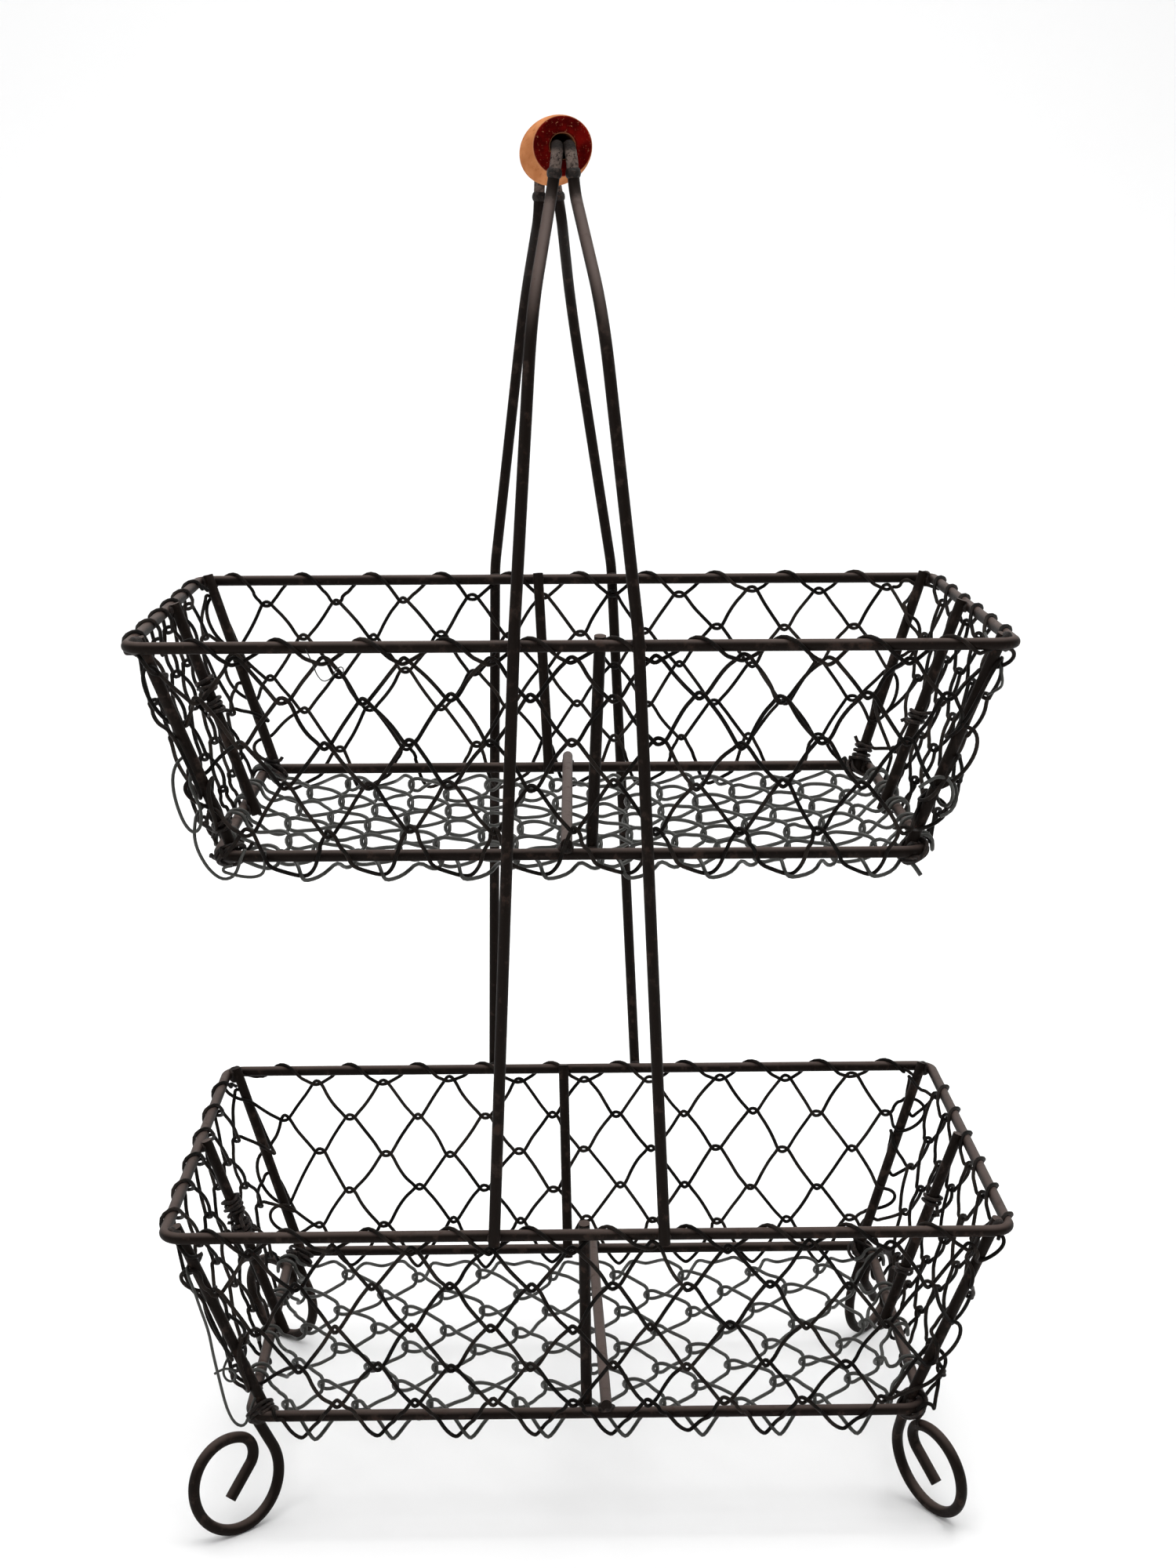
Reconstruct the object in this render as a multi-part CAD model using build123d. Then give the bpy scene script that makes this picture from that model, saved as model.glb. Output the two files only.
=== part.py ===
from build123d import *
import math
import os

# Tiered wire basket: two open rod baskets, one over the other, carried by two bent wires and a turned wooden
# grip. Millimetres, +Z up. The origin is on the ground under the middle of the whole basket, the long side
# runs along X and the front faces -Y.

# Rod stock and welds
ROD_DIAMETER = 4.8
ROD_RADIUS = ROD_DIAMETER / 2
WELD_SINK = 0.05
WEAR_FLAT = 0.3

# The two tiers: how far each stands off the middle, and the height of its bottom ring
BASKET_DEPTH = 88.0
TIERS = {
    "upper": {"shift": -2.75, "ring_height": 294.0},
    "lower": {"shift": 2.75, "ring_height": 49.0},
}

# Top rims and bottom rings, between rod centres
RIM_WIDTH = 350.0
RIM_DEPTH = 215.0
RIM_CORNER = 8.0
RING_WIDTH = 288.0
RING_DEPTH = 179.0
RING_CORNER = 9.0

# Posts stand inside the rim and the ring, and reach a little above the rim
POST_RISE = 3.5
MID_POSTS = {
    "upper": {"front": (10.9, 7.8), "rear": (-13.5, -9.1)},
    "lower": {"front": (-1.5, -0.4), "rear": (-8.1, -6.6)},
}
CROSSBARS = {
    "upper": (-2.5, 0.0),
    "lower": (7.9, 5.5),
}
CROSSBAR_OVERHANG = 3.0

# Scroll feet: a straight stretch down from the ring's corner, three arcs of less and less radius, and a tail.
# Each was bent and welded by hand, so its middle, the turn of its plane from X and its tilt are its own
FOOT_TOP = 46.9
FOOT_SLANT = 26.2
SCROLL_ARCS = [(21.35, 204.6), (18.8, 113.1), (7.9, 111.8)]
TAIL = 16.4
SCROLLS = {
    "front_left": {"middle": (-149.4, -96.0), "turn": 40.6, "tilt": 6.1},
    "front_right": {"middle": (146.7, -89.3), "turn": 59.5, "tilt": 8.7},
    "rear_left": {"middle": (-150.3, 95.8), "turn": 38.5, "tilt": 5.5},
    "rear_right": {"middle": (147.0, 97.7), "turn": 52.0, "tilt": -6.0},
}

# Netting: hooked rows of twisted wire, hung outside the rods and below the ring
STRAND = 1.7
NET_GAP = 0.05
CELL_WIDTH = 33.0
CELL_HEIGHT = 36.0
KNOT_WIDTH = 3.4
KNOT_HEIGHT = 3.0
FIRST_KNOTS = 6.0
NET_DROP = 7.0
NET_PAST_BEND = 6.0
NET_CLEARANCE = 0.15
SMALLEST_GAP_AREA = 12.0
FLOOR_NET_CORNER = 17.5
CELLS_TO_EACH_END = 4

# Wooden grip, a drilled barrel that turns on the two wires
GRIP_LENGTH = 83.0
GRIP_END_RADIUS = 12.0
GRIP_MIDDLE_RADIUS = 14.0
GRIP_BORE_RADIUS = 5.15
GRIP_EDGE = 0.8
GRIP_HEIGHT = 575.0
GRIP_SHIFT = -8.0
GRIP_TURN = 4.1
WIRE_SPACING = 4.85

# Carrying wires: X at the lower rim, at the upper rim, at the shoulder and at the neck under the grip
UPRIGHTS = {
    "front_left": (-35.9, -25.4, -17.8, -9.7),
    "front_right": (34.2, 22.9, 9.6, -0.3),
    "rear_left": (-40.1, -36.9, -22.2, -15.0),
    "rear_right": (30.5, 18.7, -0.3, -4.9),
}
RIM_BEND_RISE = 6.0
SHOULDER_HEIGHT = 510.0
SHOULDER_OUT = 98.0
NECK_OUT = 50.5
NECK_HEIGHTS = {"front": 556.0, "rear": 549.0}
WELD_HEIGHTS = {"front": 564.0, "rear": 558.0}
RIM_BEND_RADIUS = 60.0
SHOULDER_RADIUS = 60.0
NECK_RADIUS = 12.0
GRIP_BEND_RADIUS = 8.0
GRIP_END_FLOAT = 0.8
WELD_LENGTH = 4.0
WELD_PROFILE = [(2.85, 1.4), (3.1, 0.6)]

ENDS = {"left": -1, "right": 1}
FACES = {"front": -1, "rear": 1}


def rod(points, radii=()):
    """A round rod along straight runs, with an arc of the given radius at each inner point."""
    path = FilletPolyline(*points, radius=list(radii)) if radii else Line(*points)
    section = Plane(origin=path @ 0, z_dir=path % 0) * Circle(ROD_RADIUS)
    return sweep(section, path=path)


def rod_hoop(width, depth, corner, height):
    """A closed rod bent to a rounded rectangle, level at the given height."""
    straights = [
        Line((-width / 2 + corner, -depth / 2), (width / 2 - corner, -depth / 2)),
        Line((width / 2, -depth / 2 + corner), (width / 2, depth / 2 - corner)),
        Line((width / 2 - corner, depth / 2), (-width / 2 + corner, depth / 2)),
        Line((-width / 2, depth / 2 - corner), (-width / 2, -depth / 2 + corner)),
    ]
    bends = []
    for before, after in zip(straights, straights[1:] + straights[:1]):
        bends.append(TangentArc(before @ 1, after @ 0, tangent=before % 1))
    path = Wire([edge for pair in zip(straights, bends) for edge in (pair[0].edge(), pair[1].edge())])
    start = straights[0]
    section = Plane(origin=start @ 0, z_dir=start % 0) * Circle(ROD_RADIUS)
    return Pos(0, 0, height) * sweep(section, path=path)


# Lean of a panel: how far the ring lies inside the rim, along Y for the long sides and along X for the ends
LEAN_IN_Y = (RIM_DEPTH - RING_DEPTH) / 2
LEAN_IN_X = (RIM_WIDTH - RING_WIDTH) / 2


def post_inset(lean):
    """How far inside a hoop's rod a leaning post runs, measured level, so that the two just touch."""
    slope = math.atan2(lean, BASKET_DEPTH)
    return (ROD_DIAMETER - WELD_SINK) / math.cos(slope)


def mid_post(tier, side):
    """The straight post at the middle of one side of a basket."""
    ring_height = TIERS[tier]["ring_height"]
    rim_height = ring_height + BASKET_DEPTH
    if side in FACES:
        sign = FACES[side]
        top_x, foot_x = MID_POSTS[tier][side]
        inward = post_inset(LEAN_IN_Y)
        at_rim = Vector(top_x, sign * (RIM_DEPTH / 2 - inward), rim_height)
        at_ring = Vector(foot_x, sign * (RING_DEPTH / 2 - inward), ring_height)
    else:
        sign = ENDS[side]
        inward = post_inset(LEAN_IN_X)
        at_rim = Vector(sign * (RIM_WIDTH / 2 - inward), 0, rim_height)
        at_ring = Vector(sign * (RING_WIDTH / 2 - inward), 0, ring_height)
    down = (at_ring - at_rim).normalized()
    top = at_rim - down * POST_RISE
    foot = at_ring + down * ROD_RADIUS
    return rod([top, foot])


def corner_line(face, end):
    """Where a corner post passes the rim and the ring: inside the bend of each, level with its rod."""
    lean = math.hypot(LEAN_IN_X, LEAN_IN_Y)
    inward = post_inset(lean)
    across = math.sqrt(0.5)
    places = []
    for width, depth, corner in ((RIM_WIDTH, RIM_DEPTH, RIM_CORNER), (RING_WIDTH, RING_DEPTH, RING_CORNER)):
        x = width / 2 - corner + (corner - inward) * across
        y = depth / 2 - corner + (corner - inward) * across
        places.append(Vector(ENDS[end] * x, FACES[face] * y, 0))
    return places


def corner_post(face, end, ring_height):
    """The straight corner post of a basket."""
    at_rim, at_ring = corner_line(face, end)
    at_rim += Vector(0, 0, ring_height + BASKET_DEPTH)
    at_ring += Vector(0, 0, ring_height)
    down = (at_ring - at_rim).normalized()
    return rod([at_rim - down * POST_RISE, at_ring + down * ROD_RADIUS])


def scroll_plane(face, end):
    """The upright plane of a scroll foot, with its origin in the middle of the first arc."""
    scroll = SCROLLS[f"{face}_{end}"]
    turn = math.radians(scroll["turn"])
    outward = Vector(ENDS[end] * math.cos(turn), FACES[face] * math.sin(turn), 0)
    sideways = Vector(-outward.Y, outward.X, 0) * FACES[face]
    tilt = math.radians(scroll["tilt"])
    upward = Vector(0, 0, math.cos(tilt)) + sideways * math.sin(tilt)
    height = ROD_RADIUS - WEAR_FLAT + SCROLL_ARCS[0][0] * math.cos(tilt)
    return Vector(*scroll["middle"], height), outward, upward


def scroll_straight(face, end):
    """Both ends of a foot's straight stretch: under the ring's corner, and where the first arc begins."""
    middle, outward, upward = scroll_plane(face, end)
    slant = math.radians(FOOT_SLANT)
    radius = SCROLL_ARCS[0][0]
    begin = middle - outward * radius * math.cos(slant) + upward * radius * math.sin(slant)
    rising = outward * math.sin(slant) + upward * math.cos(slant)
    return begin + rising * ((FOOT_TOP - begin.Z) / rising.Z), begin


def scroll_stock(face, end, radius, past_top=0.0):
    """Round stock of a radius along all of a foot's route, which may begin a little past the foot's top."""
    _, outward, upward = scroll_plane(face, end)
    top, place = scroll_straight(face, end)
    start = top + (top - place).normalized() * past_top
    heading = -math.pi / 2 - math.radians(FOOT_SLANT)
    edges = [Line(start, place).edge()]

    def direction(angle):
        return outward * math.cos(angle) + upward * math.sin(angle)

    for bend, sweep_angle in SCROLL_ARCS:
        centre = place + direction(heading + math.pi / 2) * bend
        halfway = heading + math.radians(sweep_angle) / 2
        heading += math.radians(sweep_angle)
        through = centre - direction(halfway + math.pi / 2) * bend
        finish = centre - direction(heading + math.pi / 2) * bend
        edges.append(ThreePointArc(place, through, finish).edge())
        place = finish
    edges.append(Line(place, place + direction(heading) * TAIL).edge())
    section = Plane(origin=start, z_dir=edges[0] % 0) * Circle(radius)
    return sweep(section, path=Wire(edges))


def scroll_foot(face, end):
    """A foot of rod, bent to a scroll, whose top meets the ring's corner and whose sole is worn flat."""
    ground = Pos(0, 0, -RIM_WIDTH / 2) * Box(2 * RIM_WIDTH, 2 * RIM_WIDTH, RIM_WIDTH)
    return scroll_stock(face, end, ROD_RADIUS) - ground


def floor_crossbar(tier):
    """The rod that lies across the bottom ring from front to rear."""
    front_x, rear_x = CROSSBARS[tier]
    reach = RING_DEPTH / 2 + CROSSBAR_OVERHANG
    height = TIERS[tier]["ring_height"] + ROD_DIAMETER - WELD_SINK
    return rod([(front_x, -reach, height), (rear_x, reach, height)])


def net_holes(half_width, top, bottom, first_row):
    """The six-sided gaps of the netting over an area: strands cross in small flat knots."""
    run = CELL_WIDTH / 2 - KNOT_WIDTH / 2
    side_inset = STRAND / 2 * math.hypot(run, CELL_HEIGHT / 2) / (CELL_HEIGHT / 2)
    reach = run - side_inset
    rise = CELL_HEIGHT / 2 - KNOT_HEIGHT / 2
    shape = [
        (-reach, 0),
        (-KNOT_WIDTH / 2, rise),
        (KNOT_WIDTH / 2, rise),
        (reach, 0),
        (KNOT_WIDTH / 2, -rise),
        (-KNOT_WIDTH / 2, -rise),
    ]
    gap = Polygon(*shape, align=None)
    columns = math.ceil(half_width / CELL_WIDTH) + 1
    gaps = []
    row = -1
    while first_row - row * CELL_HEIGHT / 2 > bottom - CELL_HEIGHT / 2:
        height = first_row - row * CELL_HEIGHT / 2
        shift = CELL_WIDTH / 2 if row % 2 == 0 else 0
        if height < top + CELL_HEIGHT / 2:
            for column in range(-columns, columns + 1):
                gaps.append(Pos(column * CELL_WIDTH + shift, height) * gap)
        row += 1
    return gaps


def net_sheet(outline, inner, gaps):
    """One flat net: the outline with every gap cut through it, which leaves a strand along each edge."""
    cuts = []
    for gap in gaps:
        clipped = gap & inner
        for face in clipped.faces() if clipped else []:
            if face.area > SMALLEST_GAP_AREA:
                cuts.append(face)
    return extrude(outline - cuts, amount=STRAND / 2, both=True)


def side_net(side, ring_height):
    """The net of one leaning side: a panel that widens towards the rim."""
    if side in FACES:
        lean, rim_half, ring_half, reach = LEAN_IN_Y, RIM_WIDTH / 2, RING_WIDTH / 2, RIM_DEPTH / 2
        outward = Vector(0, FACES[side], 0)
    else:
        lean, rim_half, ring_half, reach = LEAN_IN_X, RIM_DEPTH / 2, RING_DEPTH / 2, RIM_WIDTH / 2
        outward = Vector(ENDS[side], 0, 0)
    slant = math.hypot(lean, BASKET_DEPTH)
    up_slope = (outward * lean + Vector(0, 0, BASKET_DEPTH)).normalized()
    normal = (outward * BASKET_DEPTH - Vector(0, 0, lean)).normalized()
    stand_off = ROD_RADIUS + NET_GAP + STRAND / 2
    rim_point = outward * reach + Vector(0, 0, ring_height + BASKET_DEPTH)
    plane = Plane(origin=rim_point + normal * stand_off, x_dir=up_slope.cross(normal), z_dir=normal)

    top_half = rim_half - RIM_CORNER + NET_PAST_BEND
    ring_level_half = ring_half - RING_CORNER + NET_PAST_BEND
    narrowing = (top_half - ring_level_half) / slant
    outer_face_sinks = (stand_off + STRAND / 2) * lean / slant
    bottom = -(BASKET_DEPTH + NET_DROP - outer_face_sinks) * slant / BASKET_DEPTH
    bottom_half = top_half + bottom * narrowing

    def trapezoid(inset):
        return Polygon(
            (-top_half + inset, -inset),
            (top_half - inset, -inset),
            (bottom_half - inset, bottom + inset),
            (-bottom_half + inset, bottom + inset),
            align=None,
        )

    gaps = net_holes(top_half, 0, bottom, -FIRST_KNOTS)
    return plane * net_sheet(trapezoid(0), trapezoid(STRAND), gaps)


def floor_net(ring_height):
    """The level net that the side nets meet below the ring. Its rows of wire run from front to rear."""
    stand_off = ROD_RADIUS + NET_GAP + STRAND
    halves = []
    for size, lean in ((RING_WIDTH, LEAN_IN_X), (RING_DEPTH, LEAN_IN_Y)):
        slope = math.atan2(lean, BASKET_DEPTH)
        halves.append(size / 2 + stand_off / math.cos(slope) - NET_DROP * math.tan(slope))
    half_x, half_y = halves
    outline = RectangleRounded(2 * half_y, 2 * half_x, FLOOR_NET_CORNER)
    inner = RectangleRounded(2 * half_y - 2 * STRAND, 2 * half_x - 2 * STRAND, FLOOR_NET_CORNER - STRAND)
    gaps = net_holes(half_y, half_x, -half_x, CELL_HEIGHT * CELLS_TO_EACH_END)
    height = ring_height - NET_DROP - NET_GAP - STRAND / 2
    return Pos(0, 0, height) * Rot(0, 0, 90) * net_sheet(outline, inner, gaps)


def grip_line(side_shift, reach):
    """A point on a wire in the grip: shifted sideways from the grip's axis, at a distance along it."""
    turn = math.radians(GRIP_TURN)
    along = Vector(-math.sin(turn), math.cos(turn), 0)
    sideways = Vector(math.cos(turn), math.sin(turn), 0)
    return Vector(GRIP_SHIFT, 0, GRIP_HEIGHT) + sideways * side_shift + along * reach


def grip_corner(face, end):
    """The corner of a wire's route where it turns down in front of the grip or behind it."""
    reach = GRIP_LENGTH / 2 + GRIP_END_FLOAT + GRIP_BEND_RADIUS
    return grip_line(ENDS[end] * WIRE_SPACING / 2, FACES[face] * reach)


def weld_frame(face, end):
    """The middle of a weld on the neck of a wire, and the direction of the wire there, upwards."""
    neck = Vector(UPRIGHTS[f"{face}_{end}"][3], FACES[face] * NECK_OUT, NECK_HEIGHTS[face])
    upward = (grip_corner(face, end) - neck).normalized()
    middle = neck + upward * ((WELD_HEIGHTS[face] - neck.Z) / upward.Z)
    return middle, upward


def upright_run(face, end):
    """The straight stretch of a carrying wire, from the underside of the lower rim to just over the upper rim."""
    low_x, rim_x = UPRIGHTS[f"{face}_{end}"][:2]
    y = FACES[face] * (RIM_DEPTH / 2 + ROD_DIAMETER - WELD_SINK)
    lower_rim = TIERS["lower"]["ring_height"] + BASKET_DEPTH
    upper_rim = TIERS["upper"]["ring_height"] + BASKET_DEPTH
    return Vector(low_x, y, lower_rim - ROD_RADIUS), Vector(rim_x, y, upper_rim + RIM_BEND_RISE)


def upright(face, end):
    """A carrying wire from the lower rim, past the upper rim, over the shoulder to its weld."""
    shoulder_x, neck_x = UPRIGHTS[f"{face}_{end}"][2:]
    sign = FACES[face]
    middle, upward = weld_frame(face, end)
    points = [
        *upright_run(face, end),
        (shoulder_x, sign * SHOULDER_OUT, SHOULDER_HEIGHT),
        (neck_x, sign * NECK_OUT, NECK_HEIGHTS[face]),
        middle - upward * (WELD_LENGTH / 2),
    ]
    return rod(points, [RIM_BEND_RADIUS, SHOULDER_RADIUS, NECK_RADIUS])


def grip_wire(end):
    """The short wire through the grip, turned down at both ends to its two welds."""
    points = []
    for face in ("front", "rear"):
        middle, upward = weld_frame(face, end)
        pair = [middle + upward * (WELD_LENGTH / 2), grip_corner(face, end)]
        points.extend(pair if face == "front" else reversed(pair))
    return rod(points, [GRIP_BEND_RADIUS, GRIP_BEND_RADIUS])


def weld_bead(face, end):
    """The swelling of weld metal between a grip wire and an upright, whose ends meet its flat faces."""
    middle, upward = weld_frame(face, end)
    half = WELD_LENGTH / 2
    upper = [(0, half), (ROD_RADIUS, half), *WELD_PROFILE]
    lower = [(radius, -height) for radius, height in reversed(upper)]
    side = Plane.XZ * make_face(Polyline(*upper, *lower, close=True))
    return Plane(origin=middle, z_dir=upward) * revolve(side, Axis.Z)


def wooden_grip():
    """The drilled barrel, thickest at its middle, with softened end edges."""
    half = GRIP_LENGTH / 2
    rounding = GRIP_EDGE
    outline = Polyline(
        (GRIP_END_RADIUS - rounding, half),
        (GRIP_BORE_RADIUS + rounding, half),
        (GRIP_BORE_RADIUS, half - rounding),
        (GRIP_BORE_RADIUS, -half + rounding),
        (GRIP_BORE_RADIUS + rounding, -half),
        (GRIP_END_RADIUS - rounding, -half),
        (GRIP_END_RADIUS, -half + rounding),
    )
    belly = ThreePointArc(
        (GRIP_END_RADIUS, -half + rounding), (GRIP_MIDDLE_RADIUS, 0), (GRIP_END_RADIUS, half - rounding)
    )
    shoulder = Line((GRIP_END_RADIUS, half - rounding), (GRIP_END_RADIUS - rounding, half))
    barrel = revolve(Plane.XZ * make_face(outline + belly + shoulder), Axis.Z)
    axis = grip_line(0, 1) - grip_line(0, 0)
    return Plane(origin=grip_line(0, 0), z_dir=axis) * barrel


def keep_main_piece(shape):
    """Cutting round a rod can free a crumb of strand: only the net itself stays."""
    return max(shape.solids(), key=lambda solid: solid.volume)


def build_parts():
    """Every piece by name, placed where it belongs."""
    parts = {}
    for face in FACES:
        for end in ENDS:
            parts[f"{face}_{end}_upright"] = upright(face, end)
            parts[f"{face}_{end}_weld"] = weld_bead(face, end)
    for end in ENDS:
        parts[f"{end}_grip_wire"] = grip_wire(end)
    parts["wooden_grip"] = wooden_grip()

    for tier, place in TIERS.items():
        shift = Pos(place["shift"], 0, 0)
        ring_height = place["ring_height"]
        rim = rod_hoop(RIM_WIDTH, RIM_DEPTH, RIM_CORNER, ring_height + BASKET_DEPTH)
        ring = rod_hoop(RING_WIDTH, RING_DEPTH, RING_CORNER, ring_height)
        parts[f"{tier}_top_rim"] = shift * rim
        parts[f"{tier}_bottom_ring"] = shift * ring
        parts[f"{tier}_floor_crossbar"] = shift * floor_crossbar(tier)
        for side in (*FACES, *ENDS):
            parts[f"{tier}_{side}_mid_post"] = shift * mid_post(tier, side)
            parts[f"{tier}_{side}_net"] = shift * side_net(side, ring_height)
        parts[f"{tier}_floor_net"] = shift * floor_net(ring_height)
        for face in FACES:
            for end in ENDS:
                parts[f"{tier}_{face}_{end}_post"] = shift * corner_post(face, end, ring_height)
    shift = Pos(TIERS["lower"]["shift"], 0, 0)
    for face in FACES:
        for end in ENDS:
            foot = shift * scroll_foot(face, end)
            held_by = (parts["lower_bottom_ring"], parts[f"lower_{face}_{end}_post"])
            for rod_above in held_by:
                foot = foot - rod_above
            parts[f"lower_{face}_{end}_foot"] = keep_main_piece(foot)
    return parts


def room_around(start, finish):
    """The room that a straight stretch of rod takes, with the nets' clearance round it and at its start."""
    along = (finish - start).normalized()
    first = start - along * NET_CLEARANCE
    length = (finish - first).length
    room = Cylinder(ROD_RADIUS + NET_CLEARANCE, length, align=(Align.CENTER, Align.CENTER, Align.MIN))
    return Plane(origin=first, z_dir=along) * room


def clear_nets(parts):
    """The nets lie against the rods, so each is cut clear of the feet and carrying wires that pass it."""
    rooms = []
    shift = Pos(TIERS["lower"]["shift"], 0, 0)
    for face in FACES:
        for end in ENDS:
            rooms.append(shift * scroll_stock(face, end, ROD_RADIUS + NET_CLEARANCE, NET_CLEARANCE))
            rooms.append(room_around(*upright_run(face, end)))
    for name, shape in parts.items():
        if not name.endswith("_net"):
            continue
        box = shape.bounding_box()
        for room in rooms:
            near = room.bounding_box()
            apart = any(
                low_a > high_b or low_b > high_a
                for low_a, high_a, low_b, high_b in zip(box.min, box.max, near.min, near.max)
            )
            if not apart:
                shape = shape - room
        parts[name] = keep_main_piece(shape)


os.makedirs("parts", exist_ok=True)
PARTS = build_parts()
clear_nets(PARTS)
for part_name, part_shape in PARTS.items():
    part_shape.label = part_name
    export_step(part_shape, f"parts/{part_name}.step")
print(len(PARTS), "parts")
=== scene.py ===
import math
import random

import bpy
from mathutils import Matrix, Vector


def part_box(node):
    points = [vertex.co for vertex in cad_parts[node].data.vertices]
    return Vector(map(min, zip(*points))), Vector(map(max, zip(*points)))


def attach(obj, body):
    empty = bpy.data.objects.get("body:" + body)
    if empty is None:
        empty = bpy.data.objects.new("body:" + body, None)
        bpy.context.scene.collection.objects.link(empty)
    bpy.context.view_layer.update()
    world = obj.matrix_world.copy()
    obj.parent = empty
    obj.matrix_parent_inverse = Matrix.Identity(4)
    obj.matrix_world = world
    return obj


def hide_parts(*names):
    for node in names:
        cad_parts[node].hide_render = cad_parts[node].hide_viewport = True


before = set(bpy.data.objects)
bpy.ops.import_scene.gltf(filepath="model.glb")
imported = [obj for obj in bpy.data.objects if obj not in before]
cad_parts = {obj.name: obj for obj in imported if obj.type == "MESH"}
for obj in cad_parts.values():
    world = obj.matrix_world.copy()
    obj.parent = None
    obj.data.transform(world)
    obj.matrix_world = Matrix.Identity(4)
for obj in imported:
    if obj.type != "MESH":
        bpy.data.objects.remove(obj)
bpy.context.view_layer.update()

bl_info = {
    "name": "Tiered wire basket",
    "version": (1, 0, 0),
    "blender": (4, 5, 0),
    "location": "View3D > Sidebar > Basket",
    "description": "Dresses a tiered rod basket with wire netting, welds, paint, a grip and a stage",
    "category": "Add Mesh",
}

# Lengths below are in millimetres unless a name says otherwise, and MM turns them into metres
MM = 0.001
BODY = "frame"
TIERS = ("upper", "lower")

# Outward direction of each side of a basket, as X and Y
SIDES = {"front": (0, -1), "right": (1, 0), "rear": (0, 1), "left": (-1, 0)}
DEEP = {"front": -1, "rear": 1}
ACROSS = {"left": -1, "right": 1}
UPWARD = Vector((0, 0, 1))

# Rods: their radius, how far a crossbar stands past the ring, how deep a slanted end face may be, and where
# the carrying wires cross the upper rim
ROD_RADIUS = 2.4
CROSSBAR_OVERHANG = 3.0
END_SLANT = 2.0
UPRIGHT_AT_UPPER_RIM = {
    "front_left_upright": -25.4,
    "front_right_upright": 22.9,
    "rear_left_upright": -36.9,
    "rear_right_upright": 18.7,
}

# A wire's mesh: its steps between two control points, and Blender's own measure of its roundness
STEPS_ALONG = 3
ROUNDNESS = 2

# Wire wound round posts and ring corners: the creep from turn to turn, its unevenness, the slack, the room
# under the wire, the points of a turn, and the tails
TIE_PITCH = 2.1
TIE_UNEVENNESS = 0.8
TIE_LOOSENESS = 0.38
TIE_ROOM = {"post": 0.15, "corner": 0.2}
TIE_POINTS = 8
TAIL_OUT = (1.0, 3.0)
TAIL_ALONG = 3.0

# Where a mid post or a corner post is wound, as shares of its height with the turns there, and the turns at
# every corner of a ring
POST_TIES = {
    "upper_left_mid_post": ((0.52, 3.5), (0.62, 2.5)),
    "upper_right_mid_post": ((0.45, 2.5),),
    "lower_left_mid_post": ((0.66, 4.5), (0.55, 3.5), (0.42, 1.6)),
    "lower_right_mid_post": ((0.66, 2.5), (0.3, 1.6)),
    "upper_rear_right_post": ((0.1, 4.5),),
    "upper_front_left_post": ((0.16, 1.6),),
}
CORNER_TIE_TURNS = 2.6

# Between these heights in metres the paint is painted paler as painted light from above, then burnt near the
# welds under the grip, and the wires through the grip are painted darker as painted shade where they enter it
PAINTED_LIGHT_HEIGHTS = (0.485, 0.545)
BURNT = (0.557, 0.563)
SHADED = (0.5712, 0.5747)

# Lumps of weld metal: the model's radius, thickness and dents, then the size of each kind as a share of it
WELD_REACH = 3.0
WELD_FLATNESS = 0.62
WELD_DENTS = 0.9
WELD_DENT_SEED = 4
WELD_SIZES = {"mid_post": 1.0, "corner_post": 1.35, "crossbar": 1.2, "upright": 1.1, "foot": 1.5}
WELD_UNEVENNESS = (0.85, 1.15)

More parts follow.
